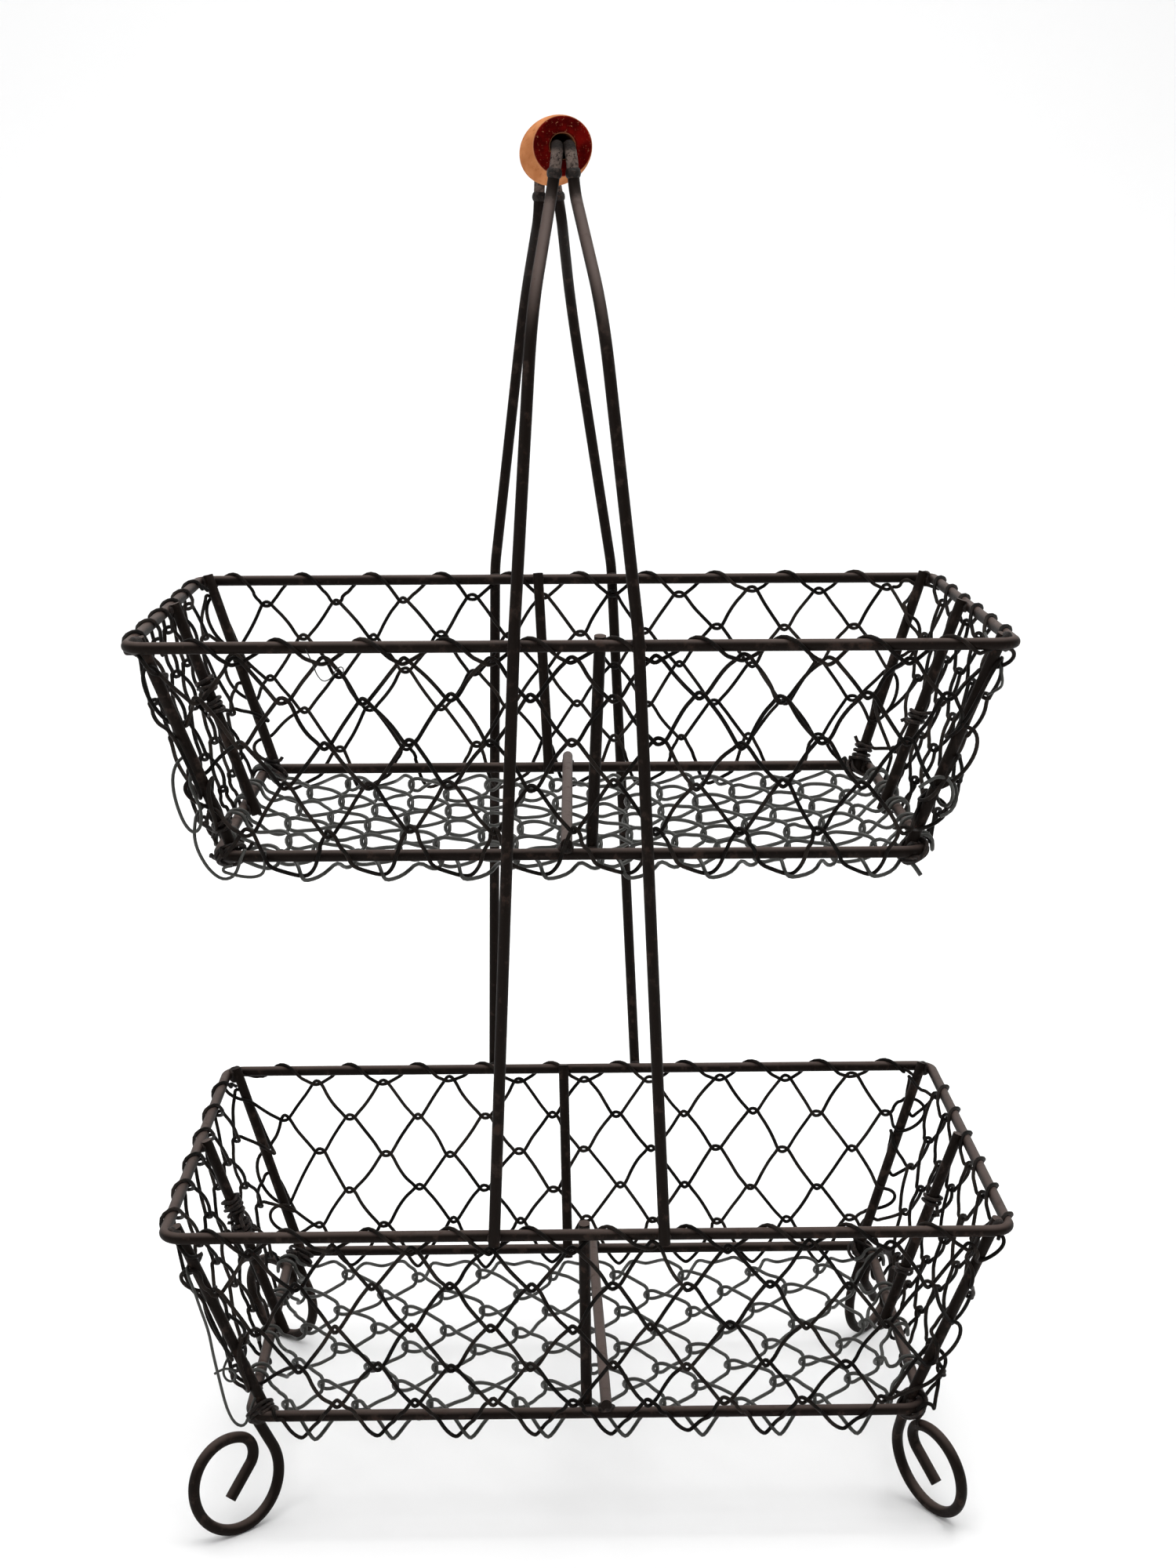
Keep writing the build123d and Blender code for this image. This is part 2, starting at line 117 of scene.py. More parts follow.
# Loose wires, each with its side, its thickness and its route along the side, down its slope and outward
LOOSE_WIRES = {
    "hanging_loop": ("lower", "front", 1.3, (
        (-161, 15, -12), (-167, 17, -7), (-166, 18, -1), (-163, 23, 3), (-161, 31, 4), (-158, 43, 4),
        (-157, 54, 4), (-155, 68, 4), (-153, 82, 4), (-150, 90.5, 4), (-146, 93, 3), (-144, 89, 0),
        (-142, 83, -4), (-139, 81, -8),
    )),
    "hanging_eye": ("lower", "front", 1.1, (
        (-143, 58, -9), (-150, 60, -7), (-153, 63, -1), (-154, 67, 1), (-152, 70.5, 1.5),
        (-149, 70, 2), (-148, 66.5, 2), (-150, 63.5, 2), (-154, 63, 3), (-157, 65, 3.6),
    )),
    "corner_loop": ("upper", "front", 1.4, (
        (-153, 48, -11), (-158, 50, -8), (-160, 54, -2), (-159.5, 60, 2), (-158, 67, 3),
        (-155.5, 74, 4), (-152, 78, 4), (-149, 75, 3), (-149, 68, 1), (-152, 62, -1), (-154, 57, -3),
        (-152, 51, -8),
    )),
    "corner_swag": ("upper", "front", 1.4, (
        (-147, 70, -9), (-152, 72, -7), (-152, 76, 3), (-152, 81, 4), (-150.5, 87, 4), (-147, 94, 4),
        (-142, 98.5, 4), (-137.5, 97.5, 3.5), (-135.5, 94, 3), (-134, 89, 3.6), (-132, 85, 4),
    )),
    "corner_hook": ("upper", "front", 1.3, (
        (-124, 86, 3.6), (-124.5, 91, 3.6), (-125, 96, 3.6), (-129, 97.5, 3.8), (-134, 97, 4),
        (-138.5, 95.5, 4.4), (-141.5, 94.5, 4.4), (-141, 92.3, 4.4), (-137.5, 92, 4.2),
    )),
    "rim_hair": ("upper", "front", 0.45, (
        (-107, -1.5, -2.4), (-106, -2.9, 0.6), (-103.5, 0.6, 2.8), (-101, 6.5, 3.6), (-100, 10, 4),
        (-97.5, 13, 4.4), (-94, 11, 4.6), (-92.5, 7.5, 4.6), (-90, 6, 4.6), (-89, 8.5, 4.6),
        (-90.5, 10, 4.4),
    )),
    "corner_stub": ("upper", "front", 1.9, (
        (131, 87, -4.4), (134, 91.5, -3.6), (137, 94, -1.5), (140, 96.5, 0.6), (142, 99.5, 2),
    )),
    "double_turn": ("upper", "front", 1.5, (
        (139, 60, 3), (142, 57.5, 3.5), (146, 54.5, 4), (151, 56.5, 3), (153.5, 63, 1), (153, 70, -2),
        (150, 72, -5), (148, 69, -9), (149, 62, -11), (154, 60, -8), (156, 66, -2), (153, 73, 0),
        (149, 74.5, -1),
    )),
    "post_hook": ("upper", "right", 1.2, (
        (-86, 2, -9), (-92, 4, -8), (-99, 8, -4), (-104, 13, -1), (-104, 17, 1), (-100, 20, 1.5),
        (-95, 24, -1),
    )),
}

# Corner posts stand this far inside the middle lines of the hoops, and rows of knots stop short of corners
POST_INSET = 6.1
ROOM_AT_POST = 6.0
ROOM_AT_RIM_CORNER = 11.0
ROOM_AT_RING_CORNER = 13.0

# Rows of knots on each side, down the slope from the rim, with the place and the pitch of the first row's
# knots along the side, and how much lower the rows get for each millimetre along it
LATTICES = {
    ("upper", "front"): {"rows": (5.6, 21.4, 40.4, 58.0, 77.3), "start": 1.5, "pitch": 33.0, "fall": 0.0},
    ("upper", "rear"): {"rows": (7.4, 24.9, 42.4, 60.3, 77.2), "start": 11.3, "pitch": 33.0, "fall": 0.02},
    ("upper", "left"): {"rows": (7.0, 25.0, 43.5, 62.0, 80.5), "start": 2.9, "pitch": 32.7, "fall": 0.01},
    ("upper", "right"): {"rows": (8.0, 26.5, 44.0, 62.5, 80.0), "start": 2.9, "pitch": 32.7, "fall": -0.01},
    ("lower", "front"): {"rows": (5.5, 24.0, 44.3, 62.5, 81.2), "start": -6.0, "pitch": 33.0, "fall": 0.0},
    ("lower", "rear"): {"rows": (5.0, 23.2, 41.6, 59.8, 76.6), "start": -2.65, "pitch": 33.3, "fall": 0.0},
    ("lower", "left"): {"rows": (6.5, 25.5, 43.0, 61.5, 80.5), "start": 2.9, "pitch": 32.7, "fall": -0.01},
    ("lower", "right"): {"rows": (7.5, 24.5, 43.5, 62.0, 80.0), "start": 18.9, "pitch": 32.7, "fall": 0.01},
}

# The turns over the rim and the bights under the ring count as the row before the first and after the last
RIM_ROW = -1
EDGE_ROW = 5

# A knot's eye: half its height in thicknesses of the wire, and half its width
EYES = {
    "side": {"gap": (0.52, 0.78), "reach": (0.9, 1.7)},
    "floor": {"gap": (0.5, 0.58), "reach": (1.8, 2.8)},
}

# How the rows meet the hoops: turns over the rim, and bights under the ring, wide under the upper one
LOOP_ROUND_RIM = 3.15
LOOP_SPREAD = 9.0
BIGHT_DROP = {"upper": 8.8, "lower": 8.3}
BIGHT_HALF_WIDTH = {"upper": 10.5, "lower": 8.5}
BIGHT_SIDE_STEP = {"upper": 8.5, "lower": 5.5}
BIGHT_WIDTHS = (0.84, 1.12)
BIGHT_DROP_CHANGES = (-1.6, 1.0)

# A bight as shares of its half width and of its drop, with how far out it stands: lopsided ones hang under
# the upper ring, pointed ones under the lower ring
BIGHT_SHAPES = {
    "upper": (
        (-1.0, -0.2, 4.8), (-0.85, 0.3, 5.0), (-0.3, 0.62, 4.2), (0.3, 1.02, 1.4),
        (0.62, 1.0, 0.6), (0.9, 0.35, 3.4), (1.0, -0.2, 4.4),
    ),
    "lower": (
        (-1.0, -0.2, 4.8), (-0.6, 0.5, 5.0), (-0.12, 1.05, 3.4), (0.12, 1.05, 1.6),
        (0.55, 0.55, 0.6), (0.85, 0.1, 3.4), (1.0, -0.2, 4.4),
    ),
}

# How far outside the rods' plane a net hangs, with the full distance from a little above the ring downwards
STAND_OFF_AT_RIM = 1.0
STAND_OFF_AT_RING = 5.0
FULL_STAND_OFF_FROM = 4.0

# The floor net hangs this far below the middle of the ring, and a little more at its middle. Its wires run
# from front to rear in steps, which end a little past the ring
FLOOR_DROP = 4.2
FLOOR_SAG = 3.6
FLOOR_STEPS = {"upper": 11, "lower": 9}
FLOOR_OVERRUN = 0.5

# A floor wire's bend: how far aside its root stands, and the share of its height that its tip keeps
FLOOR_HOOK = 3.0
FLOOR_TIP = 0.6

# The floor's wire begins at these points, inward, back and up from the ring's left front corner
FLOOR_START = ((9.0, 2.0, 4.0), (8.0, 6.0, 2.0))

# Columns of the floor net: the outer ones, their least distance to the next, and how many are tried each way
EDGE_COLUMN = 146.0
LEAST_COLUMN_GAP = 10.0
MOST_COLUMNS = 20

# One leg of a bight over the ring at an end: how far outside the rod's middle, along it, and over it
EDGE_LEG = (
    (-9.0, 8.0, -3.0), (-5.0, 5.5, -1.0), (-3.6, 4.2, 3.6),
    (1.0, 3.0, 4.9), (4.6, 1.8, 2.8), (4.8, 0.8, -2.6),
)

# The floor's bights at the front and the rear: half their width, then for each point its place across and
# its share of that half width, how far past the ring it is, and its height and its share of the drop
LONG_BIGHTS = {
    "upper": {
        "half": (4.5, 6.5),
        "points": (
            (-7.0, 0, -6.0, 0.8, 0), (0, -1, 1.5, 0, 0.7), (0, -0.6, 3.0, 0, 1),
            (0, 1, 3.0, 0, 0.55), (9.5, 0, -6.0, 0.8, 0),
        ),
    },
    "lower": {
        "half": (0.8, 1.8),
        "points": ((-7.5, 0, -6.0, 0.8, 0), (0, -1, 3.0, 0, 1), (0, 1, 3.0, 0, 1), (7.5, 0, -6.0, 0.8, 0)),
    },
}
LONG_BIGHT_EXTRA = 1.2

# A long bight moves to the nearest bight of the side net, if one is this near. So many are tried each way
HOOK_RANGE = 8.0
MOST_HOOKS = 6

# A straight strand begins this far from a bend's corner, but within a share of its own length, or at once
# where the ease is none. A long one sways and ripples at two places. A step under the least counts as level
STRAND_EASE = 3.4
EASE_SHARE = 0.3
NO_EASE = 0.0
LEAST_STRAND = 10.0
STRAND_PLACES = (0.36, 0.64)
RIPPLE_SHARE = 0.3
LEAST_STEP = 0.4

# At a knot and at mid strand the wire stands out of the net's middle by these shares of half its thickness
SIDE_SHARES = {"knot": 0.7, "swell": 0.5}
FLOOR_SHARES = {"knot": 1.0, "swell": 0.1}

# Turns of the wire round a corner post: how far they reach past its middle, how far before or behind it they
# begin, their least height and their steps, how far short of its middle they begin, and how much flatter they
# get at their furthest point
LEAST_TURN = 8.0
WIDEST_TURN = 12.0
TURN_CLEARANCE = 4.2
LEAST_TURN_HEIGHT = 12.0
TURN_STEPS = 6
TURN_START = 1.0
TURN_FLATNESS = 0.7

# The last strand of a row ends beside the post, which is placed from this level or a lower one. It ends at
# least this far under the rim and over the ring, and is at most this many half pitches long
POST_LEVELS_FROM = 5.0
LEAST_UNDER_RIM = 6.5
LEAST_OVER_RING = 9.0
LONGEST_LAST_STRAND = 1.35

# The free ends of a side's wire: how far from the first knot, under the rim or the ring, and outward
FREE_START = ((-14.0, 4.6, -4.4), (-11.5, 2.6, -3.9), (-9.0, 1.0, -3.6))
FREE_END = ((-11.0, -1.0, 4.0), (-12.0, -3.6, 2.4), (-12.6, -3.6, -2.0), (-13.0, 0.5, -3.4))

# The grip: its turn from the Y axis, half its length in metres, and how far from each end face its dark end
# and the painted highlight along its edge begin and are complete
GRIP_TURN = math.radians(4.1)
GRIP_HALF = 0.0415
GRIP_END_BAND = (0.0009, 0.0004)
GRIP_EDGE_HIGHLIGHT_BAND = (0.0024, 0.0012)

# The stage in metres: a square floor whose rear edge sweeps up to a backdrop
FLOOR_SIZE = 8.0
FLOOR_EDGE_ROOM = 0.1
BACKDROP_HEIGHT = 5.0
SWEEP_RADIUS = 2.5
SWEEP_STEPS = 24

# Each light's size, its place and the point that it faces, in metres
LIGHTS = {
    "overhead": ((2.2, 1.8), (0.1, -0.2, 2.4), (0, 0, 0.25)),
    "front_left": ((1.2, 1.6), (-1.6, -2.0, 1.3), (0, 0, 0.25)),
    "backdrop": ((4.0, 2.0), (0.0, 0.9, 3.2), (0.0, 4.0, 1.6)),
}
FRONT_LIGHT_SHARE = 0.25

# The photograph's camera, in metres, degrees and, for the lens, millimetres
CAMERA_PLACE = (-0.0142, -1.0498, 0.5237)
CAMERA_HEADING = 1.06
CAMERA_PITCH = 11.80
CAMERA_ROLL = -0.15
CAMERA_LENS = 55.8
CAMERA_SENSOR = 36.0
CAMERA_NEAREST = 0.05


def hoop(node):
    """A level hoop's middle line: where its middle is, and half its size each way, in millimetres."""
    low, high = (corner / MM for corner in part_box(node))
    radius = (high.z - low.z) / 2
    middle = (low + high) / 2
    half = Vector(((high.x - low.x) / 2 - radius, (high.y - low.y) / 2 - radius))
    return {"middle": middle, "half": half}


class Side:
    """One leaning side of a basket. Places are along it, down its slope from the rim, and outward."""

    def __init__(self, tier, side):
        rim = hoop(f"{tier}_top_rim")
        ring = hoop(f"{tier}_bottom_ring")
        outward = Vector((*SIDES[side], 0))
        self.along = Vector((-outward.y, outward.x, 0))
        deep = 0 if outward.x else 1
        wide = 1 - deep
        self.rim_half = rim["half"][wide]
        self.ring_half = ring["half"][wide]
        self.top = rim["middle"] + outward * rim["half"][deep]
        bottom = ring["middle"] + outward * ring["half"][deep]
        self.slant = (bottom - self.top).length
        self.down = (bottom - self.top).normalized()
        self.outward = self.along.cross(self.down).normalized() * -1
        if self.outward.dot(outward) < 0:
            self.outward = -self.outward

    def place(self, along, down, out):
        """A point of this side in metres, in the basket's frame."""
        return (self.top + self.along * along + self.down * down + self.outward * out) * MM

    def post(self, down):
        """How far from the middle of this side a corner post's centre is, at a level down the slope."""
        share = down / self.slant
        return self.rim_half + (self.ring_half - self.rim_half) * share - POST_INSET

    def stand_off(self, down):
        """How far outside the rods' plane the middle of the netting hangs at a level."""
        share = min(1.0, max(0.0, down / (self.slant - FULL_STAND_OFF_FROM)))
        return STAND_OFF_AT_RIM + (STAND_OFF_AT_RING - STAND_OFF_AT_RIM) * share


def leaning(inner, end):
    """Which way a bend's end stands out of the net: 1 outward, -1 inward, 0 where the bend is level."""
    step = end[2] - inner[2]
    return 0 if abs(step) < LEAST_STEP else math.copysign(1, step)


def joined_bends(bends, chance, bow, swell, ease=STRAND_EASE):
    """One list of control points. A strand that bows and swells out of the net joins each pair of bends."""
    points = []
    for bend in bends:
        if points:
            start = Vector(points[-1])
            finish = Vector(bend[0])
            run = finish - start
            step = run.normalized() * min(ease, run.length * EASE_SHARE)
            leaving = leaning(points[-2], points[-1])
            if ease:
                points.append(tuple(start + step))
            if run.length > LEAST_STRAND:
                sway = Vector([chance.uniform(-bow, bow) for _ in range(3)])
                sway.z += swell * (leaving + leaning(bend[1], bend[0])) / 2
                for share in STRAND_PLACES:
                    ripple = Vector([chance.uniform(-bow, bow) * RIPPLE_SHARE for _ in range(3)])
                    points.append(tuple(start + run * share + sway + ripple))
            if ease:
                points.append(tuple(finish - step))
        points.extend(tuple(point) for point in bend)
    return points


def wire_piece(name, paths, place, thickness):
    """A mesh of round wire, one smooth spline for each path of control points. Thickness is in metres."""
    data = bpy.data.curves.new(name, "CURVE")
    data.dimensions = "3D"
    data.resolution_u = STEPS_ALONG
    data.bevel_depth = thickness / 2
    data.bevel_resolution = ROUNDNESS
    data.use_fill_caps = True
    for path in paths:
        spline = data.splines.new("NURBS")
        spline.points.add(len(path) - 1)
        for point, spot in zip(spline.points, path):
            point.co = (*place(*spot), 1)
        spline.order_u = 3
        spline.use_endpoint_u = True
    piece = bpy.data.objects.new(name, data)
    bpy.context.scene.collection.objects.link(piece)
    bpy.ops.object.select_all(action="DESELECT")
    piece.select_set(True)
    bpy.context.view_layer.objects.active = piece
    bpy.ops.object.convert(target="MESH")
    piece = bpy.context.view_layer.objects.active
    piece.name = name
    bpy.ops.object.shade_smooth()
    return piece


class Net:
    """What every net has: its wire, half its hooks' depth, its unevenness and its own seeded chance."""

    def __init__(self, tier, side, settings, thickness, unevenness):
        self.tier = tier
        self.depth = thickness / MM / 2 - settings.wire_diameter / MM / 2
        self.wire = settings.wire_diameter / MM
        self.chance = random.Random(f"{tier} {side} netting")
        self.uneven = unevenness / MM
        self.bow = settings.strand_bow / MM


class SideNet(Net):
    """The hooked rows of wire of one side, worked out as bends and strands in that side's own places."""

    def __init__(self, tier, side, settings):
        super().__init__(tier, side, settings, settings.net_thickness, settings.unevenness)
        self.side = Side(tier, side)
        self.lattice = LATTICES[tier, side]
        self.knots = {row: self.row_of_knots(row) for row in range(RIM_ROW, EDGE_ROW + 1)}

    def level(self, row, along):
        """How far down the slope a row lies at a place along the side."""
        if row == RIM_ROW:
            return -LOOP_ROUND_RIM
        if row == EDGE_ROW:
            return self.side.slant + BIGHT_DROP[self.tier]
        return self.lattice["rows"][row] + self.lattice["fall"] * along

    def row_of_knots(self, row):
        """The knots of a row as (along, down, half of its eye's height, half of its width)."""
        pitch = self.lattice["pitch"]
        first = self.lattice["start"] + (pitch / 2 if row % 2 else 0)
        if row == RIM_ROW:
            limit = self.side.rim_half - ROOM_AT_RIM_CORNER
        elif row == EDGE_ROW:
            limit = self.side.ring_half - ROOM_AT_RING_CORNER
        else:
            limit = self.side.post(self.lattice["rows"][row]) - ROOM_AT_POST
        count = math.ceil(2 * limit / pitch) + 2
        knots = []
        for number in range(-count, count + 1):
            along = first + number * pitch
            if abs(along) > limit:
                continue
            hooked = row not in (RIM_ROW, EDGE_ROW)
            sway = self.uneven if hooked else self.uneven / 2
            shifted = along + self.chance.uniform(-sway, sway)
            down = self.level(row, along)
            if hooked:
                down += self.chance.uniform(-sway, sway)
            gap = self.wire * self.chance.uniform(*EYES["side"]["gap"])
            reach = self.chance.uniform(*EYES["side"]["reach"])
            knots.append((shifted, down, gap, reach))
        return knots

    def crest(self, row, knot):
        """The wire's bend where it turns down again: over a knot, or round the rim."""
        if row != RIM_ROW:
            return self.eye(knot, 1)
        along = knot[0]
        radius = LOOP_ROUND_RIM
        return [
            (along - LOOP_SPREAD, radius, -radius),
            (along - LOOP_SPREAD / 3, -radius, -radius),
            (along + LOOP_SPREAD / 3, -radius, radius),
            (along + LOOP_SPREAD, radius, radius),
        ]

    def valley(self, row, knot):
        """The wire's bend where it turns up again: under a knot, or in a bight below the ring."""
        return self.eye(knot, -1) if row != EDGE_ROW else self.bight(knot[0])

    def eye(self, knot, upward):
        """The bend at a knot: over it where upward is 1, and under it where upward is -1."""
        along, down, gap, reach = knot
        level = down - gap * upward
        out = self.side.stand_off(down)
        half = self.depth * SIDE_SHARES["knot"] * upward
        return [(along - reach, level, out - half), (along + reach, level, out + half)]

    def bight(self, along):
        """A bight under the ring. It reaches inward at the right, where one of the floor net hooks it."""
        slant = self.side.slant
        half = BIGHT_HALF_WIDTH[self.tier] * self.chance.uniform(*BIGHT_WIDTHS)
        drop = BIGHT_DROP[self.tier] + self.chance.uniform(*BIGHT_DROP_CHANGES)
        shape = BIGHT_SHAPES[self.tier]
        return [(along + step * half, slant + depth * drop, out) for step, depth, out in shape]

    def bends_of(self, wire):
        """Every bend of one wire from left to right, as its knot, its row and what it is there."""
        bends = [(knot, wire - 1, "crest") for knot in self.knots[wire - 1]]
        bends += [(knot, wire, "valley") for knot in self.knots[wire]]
        return sorted(bends, key=lambda bend: bend[0][0])

    def shape(self, bend):
        """The control points of one bend."""
        knot, row, kind = bend
        return self.crest(row, knot) if kind == "crest" else self.valley(row, knot)

    def level_at_post(self, bend, wire, end):
        """The level at which a wire's last strand reaches the corner post."""
        (along, down, _, _), row, kind = bend
        next_row = wire if kind == "crest" else wire - 1
        half = self.lattice["pitch"] / 2
        target = self.level(next_row, along + end * half)
        away = self.side.post(max(down, POST_LEVELS_FROM)) - abs(along)
        reached = down + (target - down) * min(LONGEST_LAST_STRAND, away / half)
        return min(self.side.slant - LEAST_OVER_RING, max(LEAST_UNDER_RIM, reached))

    def round_post(self, first, second, first_outer, second_outer, end):
        """Half an oval round a corner post, or beside it, from one row's level to the next row's."""
        bulge = self.chance.uniform(LEAST_TURN, WIDEST_TURN)
        middle = (first + second) / 2
        half = max(LEAST_TURN_HEIGHT, second - first) / 2
        starts = TURN_CLEARANCE if first_outer else -TURN_CLEARANCE
        stops = TURN_CLEARANCE if second_outer else -TURN_CLEARANCE
        turn = []
        for number in range(TURN_STEPS + 1):
            angle = math.pi * number / TURN_STEPS
            down = middle - half * math.cos(angle)
            past_post = bulge * math.sin(angle) - TURN_START
            out = (starts + stops) / 2 + (starts - stops) / 2 * math.cos(angle)
            out *= 1 - TURN_FLATNESS * math.sin(angle)
            turn.append((end * (self.side.post(down) + past_post), down, out - POST_INSET))
        return turn

    def turn_back(self, wire, end):
        """The bend that joins a wire to the next one at a corner post."""
        place = -1 if end > 0 else 0
        lasts = [(self.bends_of(number)[place], number) for number in (wire, wire + 1)]
        levels = [self.level_at_post(bend, number, end) for bend, number in lasts]
        outers = [(bend[2] == "crest") == (end > 0) for bend, _ in lasts]
        return self.round_post(*levels, *outers, end)

    def path(self):
        """The whole side as one wire, to and fro between the corner posts."""
        bends = [self.free_start()]
        for wire in range(EDGE_ROW + 1):
            row = [self.shape(bend) for bend in self.bends_of(wire)]
            if wire % 2:
                row = [list(reversed(bend)) for bend in reversed(row)]
            bends.extend(row)
            if wire < EDGE_ROW:
                bends.append(self.turn_back(wire, 1 if wire % 2 == 0 else -1))
        bends.append(self.free_end())
        return joined_bends(bends, self.chance, self.bow, self.depth * SIDE_SHARES["swell"])

    def free_start(self):
        """The end of the wire, tucked behind the rim at the left."""
        along = self.bends_of(0)[0][0][0]
        return [(along + step, down, out) for step, down, out in FREE_START]

    def free_end(self):
        """The other end of the wire, hooked over the ring at the left."""
        along = self.bends_of(EDGE_ROW)[0][0][0]
        return [(along + step, self.side.slant + down, out) for step, down, out in FREE_END]


class FloorNet(Net):
    """The net under a basket: wires from front to rear, hooked to each other in columns."""

    def __init__(self, tier, settings, hooks):
        super().__init__(tier, "floor", settings, settings.floor_thickness, settings.floor_unevenness)
        ring = hoop(f"{tier}_bottom_ring")
        self.middle = ring["middle"]
        self.half = ring["half"]
        self.hooks = hooks
        self.columns = self.columns_across()
        self.steps = FLOOR_STEPS[tier]
        self.step = 2 * (self.half.y + FLOOR_OVERRUN) / self.steps
        self.knots = {}

    def columns_across(self):
        """The columns as (across, whether a bight at the front belongs to it), from left to right."""
        half_pitch = LATTICES["lower", "front"]["pitch"] / 2
        first = self.hooks["front"][0]
        inner = []
        for number in range(-MOST_COLUMNS, MOST_COLUMNS + 1):
            across = first + number * half_pitch
            if abs(across) < EDGE_COLUMN - LEAST_COLUMN_GAP:
                inner.append((across, number % 2 == 0))
        left = (-EDGE_COLUMN, not inner[0][1])
        right = (EDGE_COLUMN, not inner[-1][1])
        return [left, *inner, right]

    def place(self, across, along, up):
        """A point of the floor in metres: across is from left to right, along from front to rear."""
        sag_x = 1 - min(1.0, abs(across) / self.half.x) ** 2
        sag_y = 1 - min(1.0, abs(along) / self.half.y) ** 2
        height = up - FLOOR_DROP - FLOOR_SAG * sag_x * sag_y
        return (self.middle + Vector((across, along, height))) * MM

    def knot(self, column, step):
        """The knot of a column at a step from the front, made once for the two wires that share it."""
        if (column, step) not in self.knots:
            along = -self.half.y - FLOOR_OVERRUN + step * self.step
            self.knots[column, step] = (
                self.columns[column][0] + self.chance.uniform(-self.uneven, self.uneven),
                along + self.chance.uniform(-self.uneven, self.uneven),
                self.wire * self.chance.uniform(*EYES["floor"]["gap"]),
                self.chance.uniform(*EYES["floor"]["reach"]),
            )
        return self.knots[column, step]

    def bend(self, column, step, from_left):
        """The bend of a wire at a knot, in the order that it runs to the rear."""
        across, along, gap, reach = self.knot(column, step)
        if abs(self.columns[column][0]) == EDGE_COLUMN:
            return self.edge_bight(math.copysign(1, across), along)
        side = 1 if from_left else -1
        half = -side * self.depth * FLOOR_SHARES["knot"]
        root = across - side * FLOOR_HOOK
        tip = across + side * gap
        return [
            (root, along - reach - FLOOR_HOOK / 2, half),
            (tip, along - reach, half * FLOOR_TIP),
            (tip, along + reach, -half * FLOOR_TIP),
            (root, along + reach + FLOOR_HOOK / 2, -half),
        ]

    def edge_bight(self, end, along):
        """The bight at the left or right edge, which goes over the ring to the end net outside it."""
        leg = [(self.half.x + out, step, FLOOR_DROP + height) for out, step, height in EDGE_LEG]
        first = [(end * across, along - step, up) for across, step, up in leg]
        return first + [(end * across, along + step, up) for across, step, up in reversed(leg)]

    def long_bight(self, across, face):
        """The turn from one wire to the next at the front or the rear, which dips under the ring."""
        drop = FLOOR_DROP - BIGHT_DROP[self.tier] - LONG_BIGHT_EXTRA
        shape = LONG_BIGHTS[self.tier]
        half = self.chance.uniform(*shape["half"])
        return [
            (across + step + share * half, face * (self.half.y + past), up + part * drop)
            for step, share, past, up, part in shape["points"]
        ]

    def wire_bends(self, number):
        """The bends of one wire between two columns, from front to rear, without the turns at its ends."""
        bends = []
        left_is_even = self.columns[number][1]
        for step in range(1, self.steps):
            at_left = (step % 2 == 0) == left_is_even
            bends.append(self.bend(number if at_left else number + 1, step, from_left=not at_left))
        return bends

    def path(self):
        """The whole floor as one wire, to and fro between front and rear."""
        last = len(self.columns) - 2
        bends = [[(inset - self.half.x, back - self.half.y, up) for inset, back, up in FLOOR_START]]
        for number in range(last + 1):
            run = self.wire_bends(number)
            side = "rear" if self.columns[number][1] else "front"
            if side == "front":
                run = [list(reversed(bend)) for bend in reversed(run)]
            bends.extend(run)
            if number < last:
                shared = self.columns[number + 1][0]
                hook = min(self.hooks[side], key=lambda place: abs(place - shared))
                across = hook if abs(hook - shared) < HOOK_RANGE else shared
                bends.append(self.long_bight(across, DEEP[side]))
        return joined_bends(bends, self.chance, self.bow, self.depth * FLOOR_SHARES["swell"], NO_EASE)


def hook_places(tier, side, reach):
    """Where bights of the floor net cross the bights of a side net, as X on that side."""
    lattice = LATTICES[tier, side]
    sign = 1 if side == "front" else -1
    first = lattice["start"] + lattice["pitch"] / 2
    numbers = range(-MOST_HOOKS, MOST_HOOKS + 1)
    return [sign * (first + number * lattice["pitch"]) + reach for number in numbers]


def in_metres(x, y, z):
    """A point of the basket's own frame, from millimetres."""
    return Vector((x, y, z)) * MM


def rod_ends(name, axis=2):
    """The middles of both ends of a rod in millimetres. The end that is lower on an axis comes first."""
    spots = [vertex.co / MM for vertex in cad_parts[name].data.vertices]
    levels = [spot[axis] for spot in spots]
    ends = []
    for level in (min(levels), max(levels)):
        near = [spot for spot in spots if abs(spot[axis] - level) < END_SLANT]
        ends.append(sum(near, Vector()) / len(near))
    return ends


def at_height(ends, height):
    """The point of a straight rod's middle line at a height."""
    low, high = ends
    return low + (high - low) * ((height - low.z) / (high.z - low.z))


def winding(middle, across, away, along, half_across, half_away, turns, chance):
    """Control points of a wire wound round a rod or a crossing of rods: ovals that creep along an axis."""
    count = round(turns * TIE_POINTS)
    start = chance.uniform(0, 2 * math.pi)
    points = []
    for number in range(count + 1):
        angle = start + 2 * math.pi * number / TIE_POINTS
        loose = 1.0 + chance.uniform(0.0, TIE_LOOSENESS)
        creep = (number / count - 0.5) * turns * TIE_PITCH + chance.uniform(-TIE_UNEVENNESS, TIE_UNEVENNESS)
        spot = middle + along * creep
        spot = spot + across * (half_across * loose * math.cos(angle))
        points.append(spot + away * (half_away * loose * math.sin(angle)))
    for end in (0, -1):
        outward = (points[end] - middle).normalized()
        tail = points[end] + outward * chance.uniform(*TAIL_OUT)
        tail = tail + along * chance.uniform(-TAIL_ALONG, TAIL_ALONG)
        points.insert(0 if end == 0 else len(points), tail)
    return points


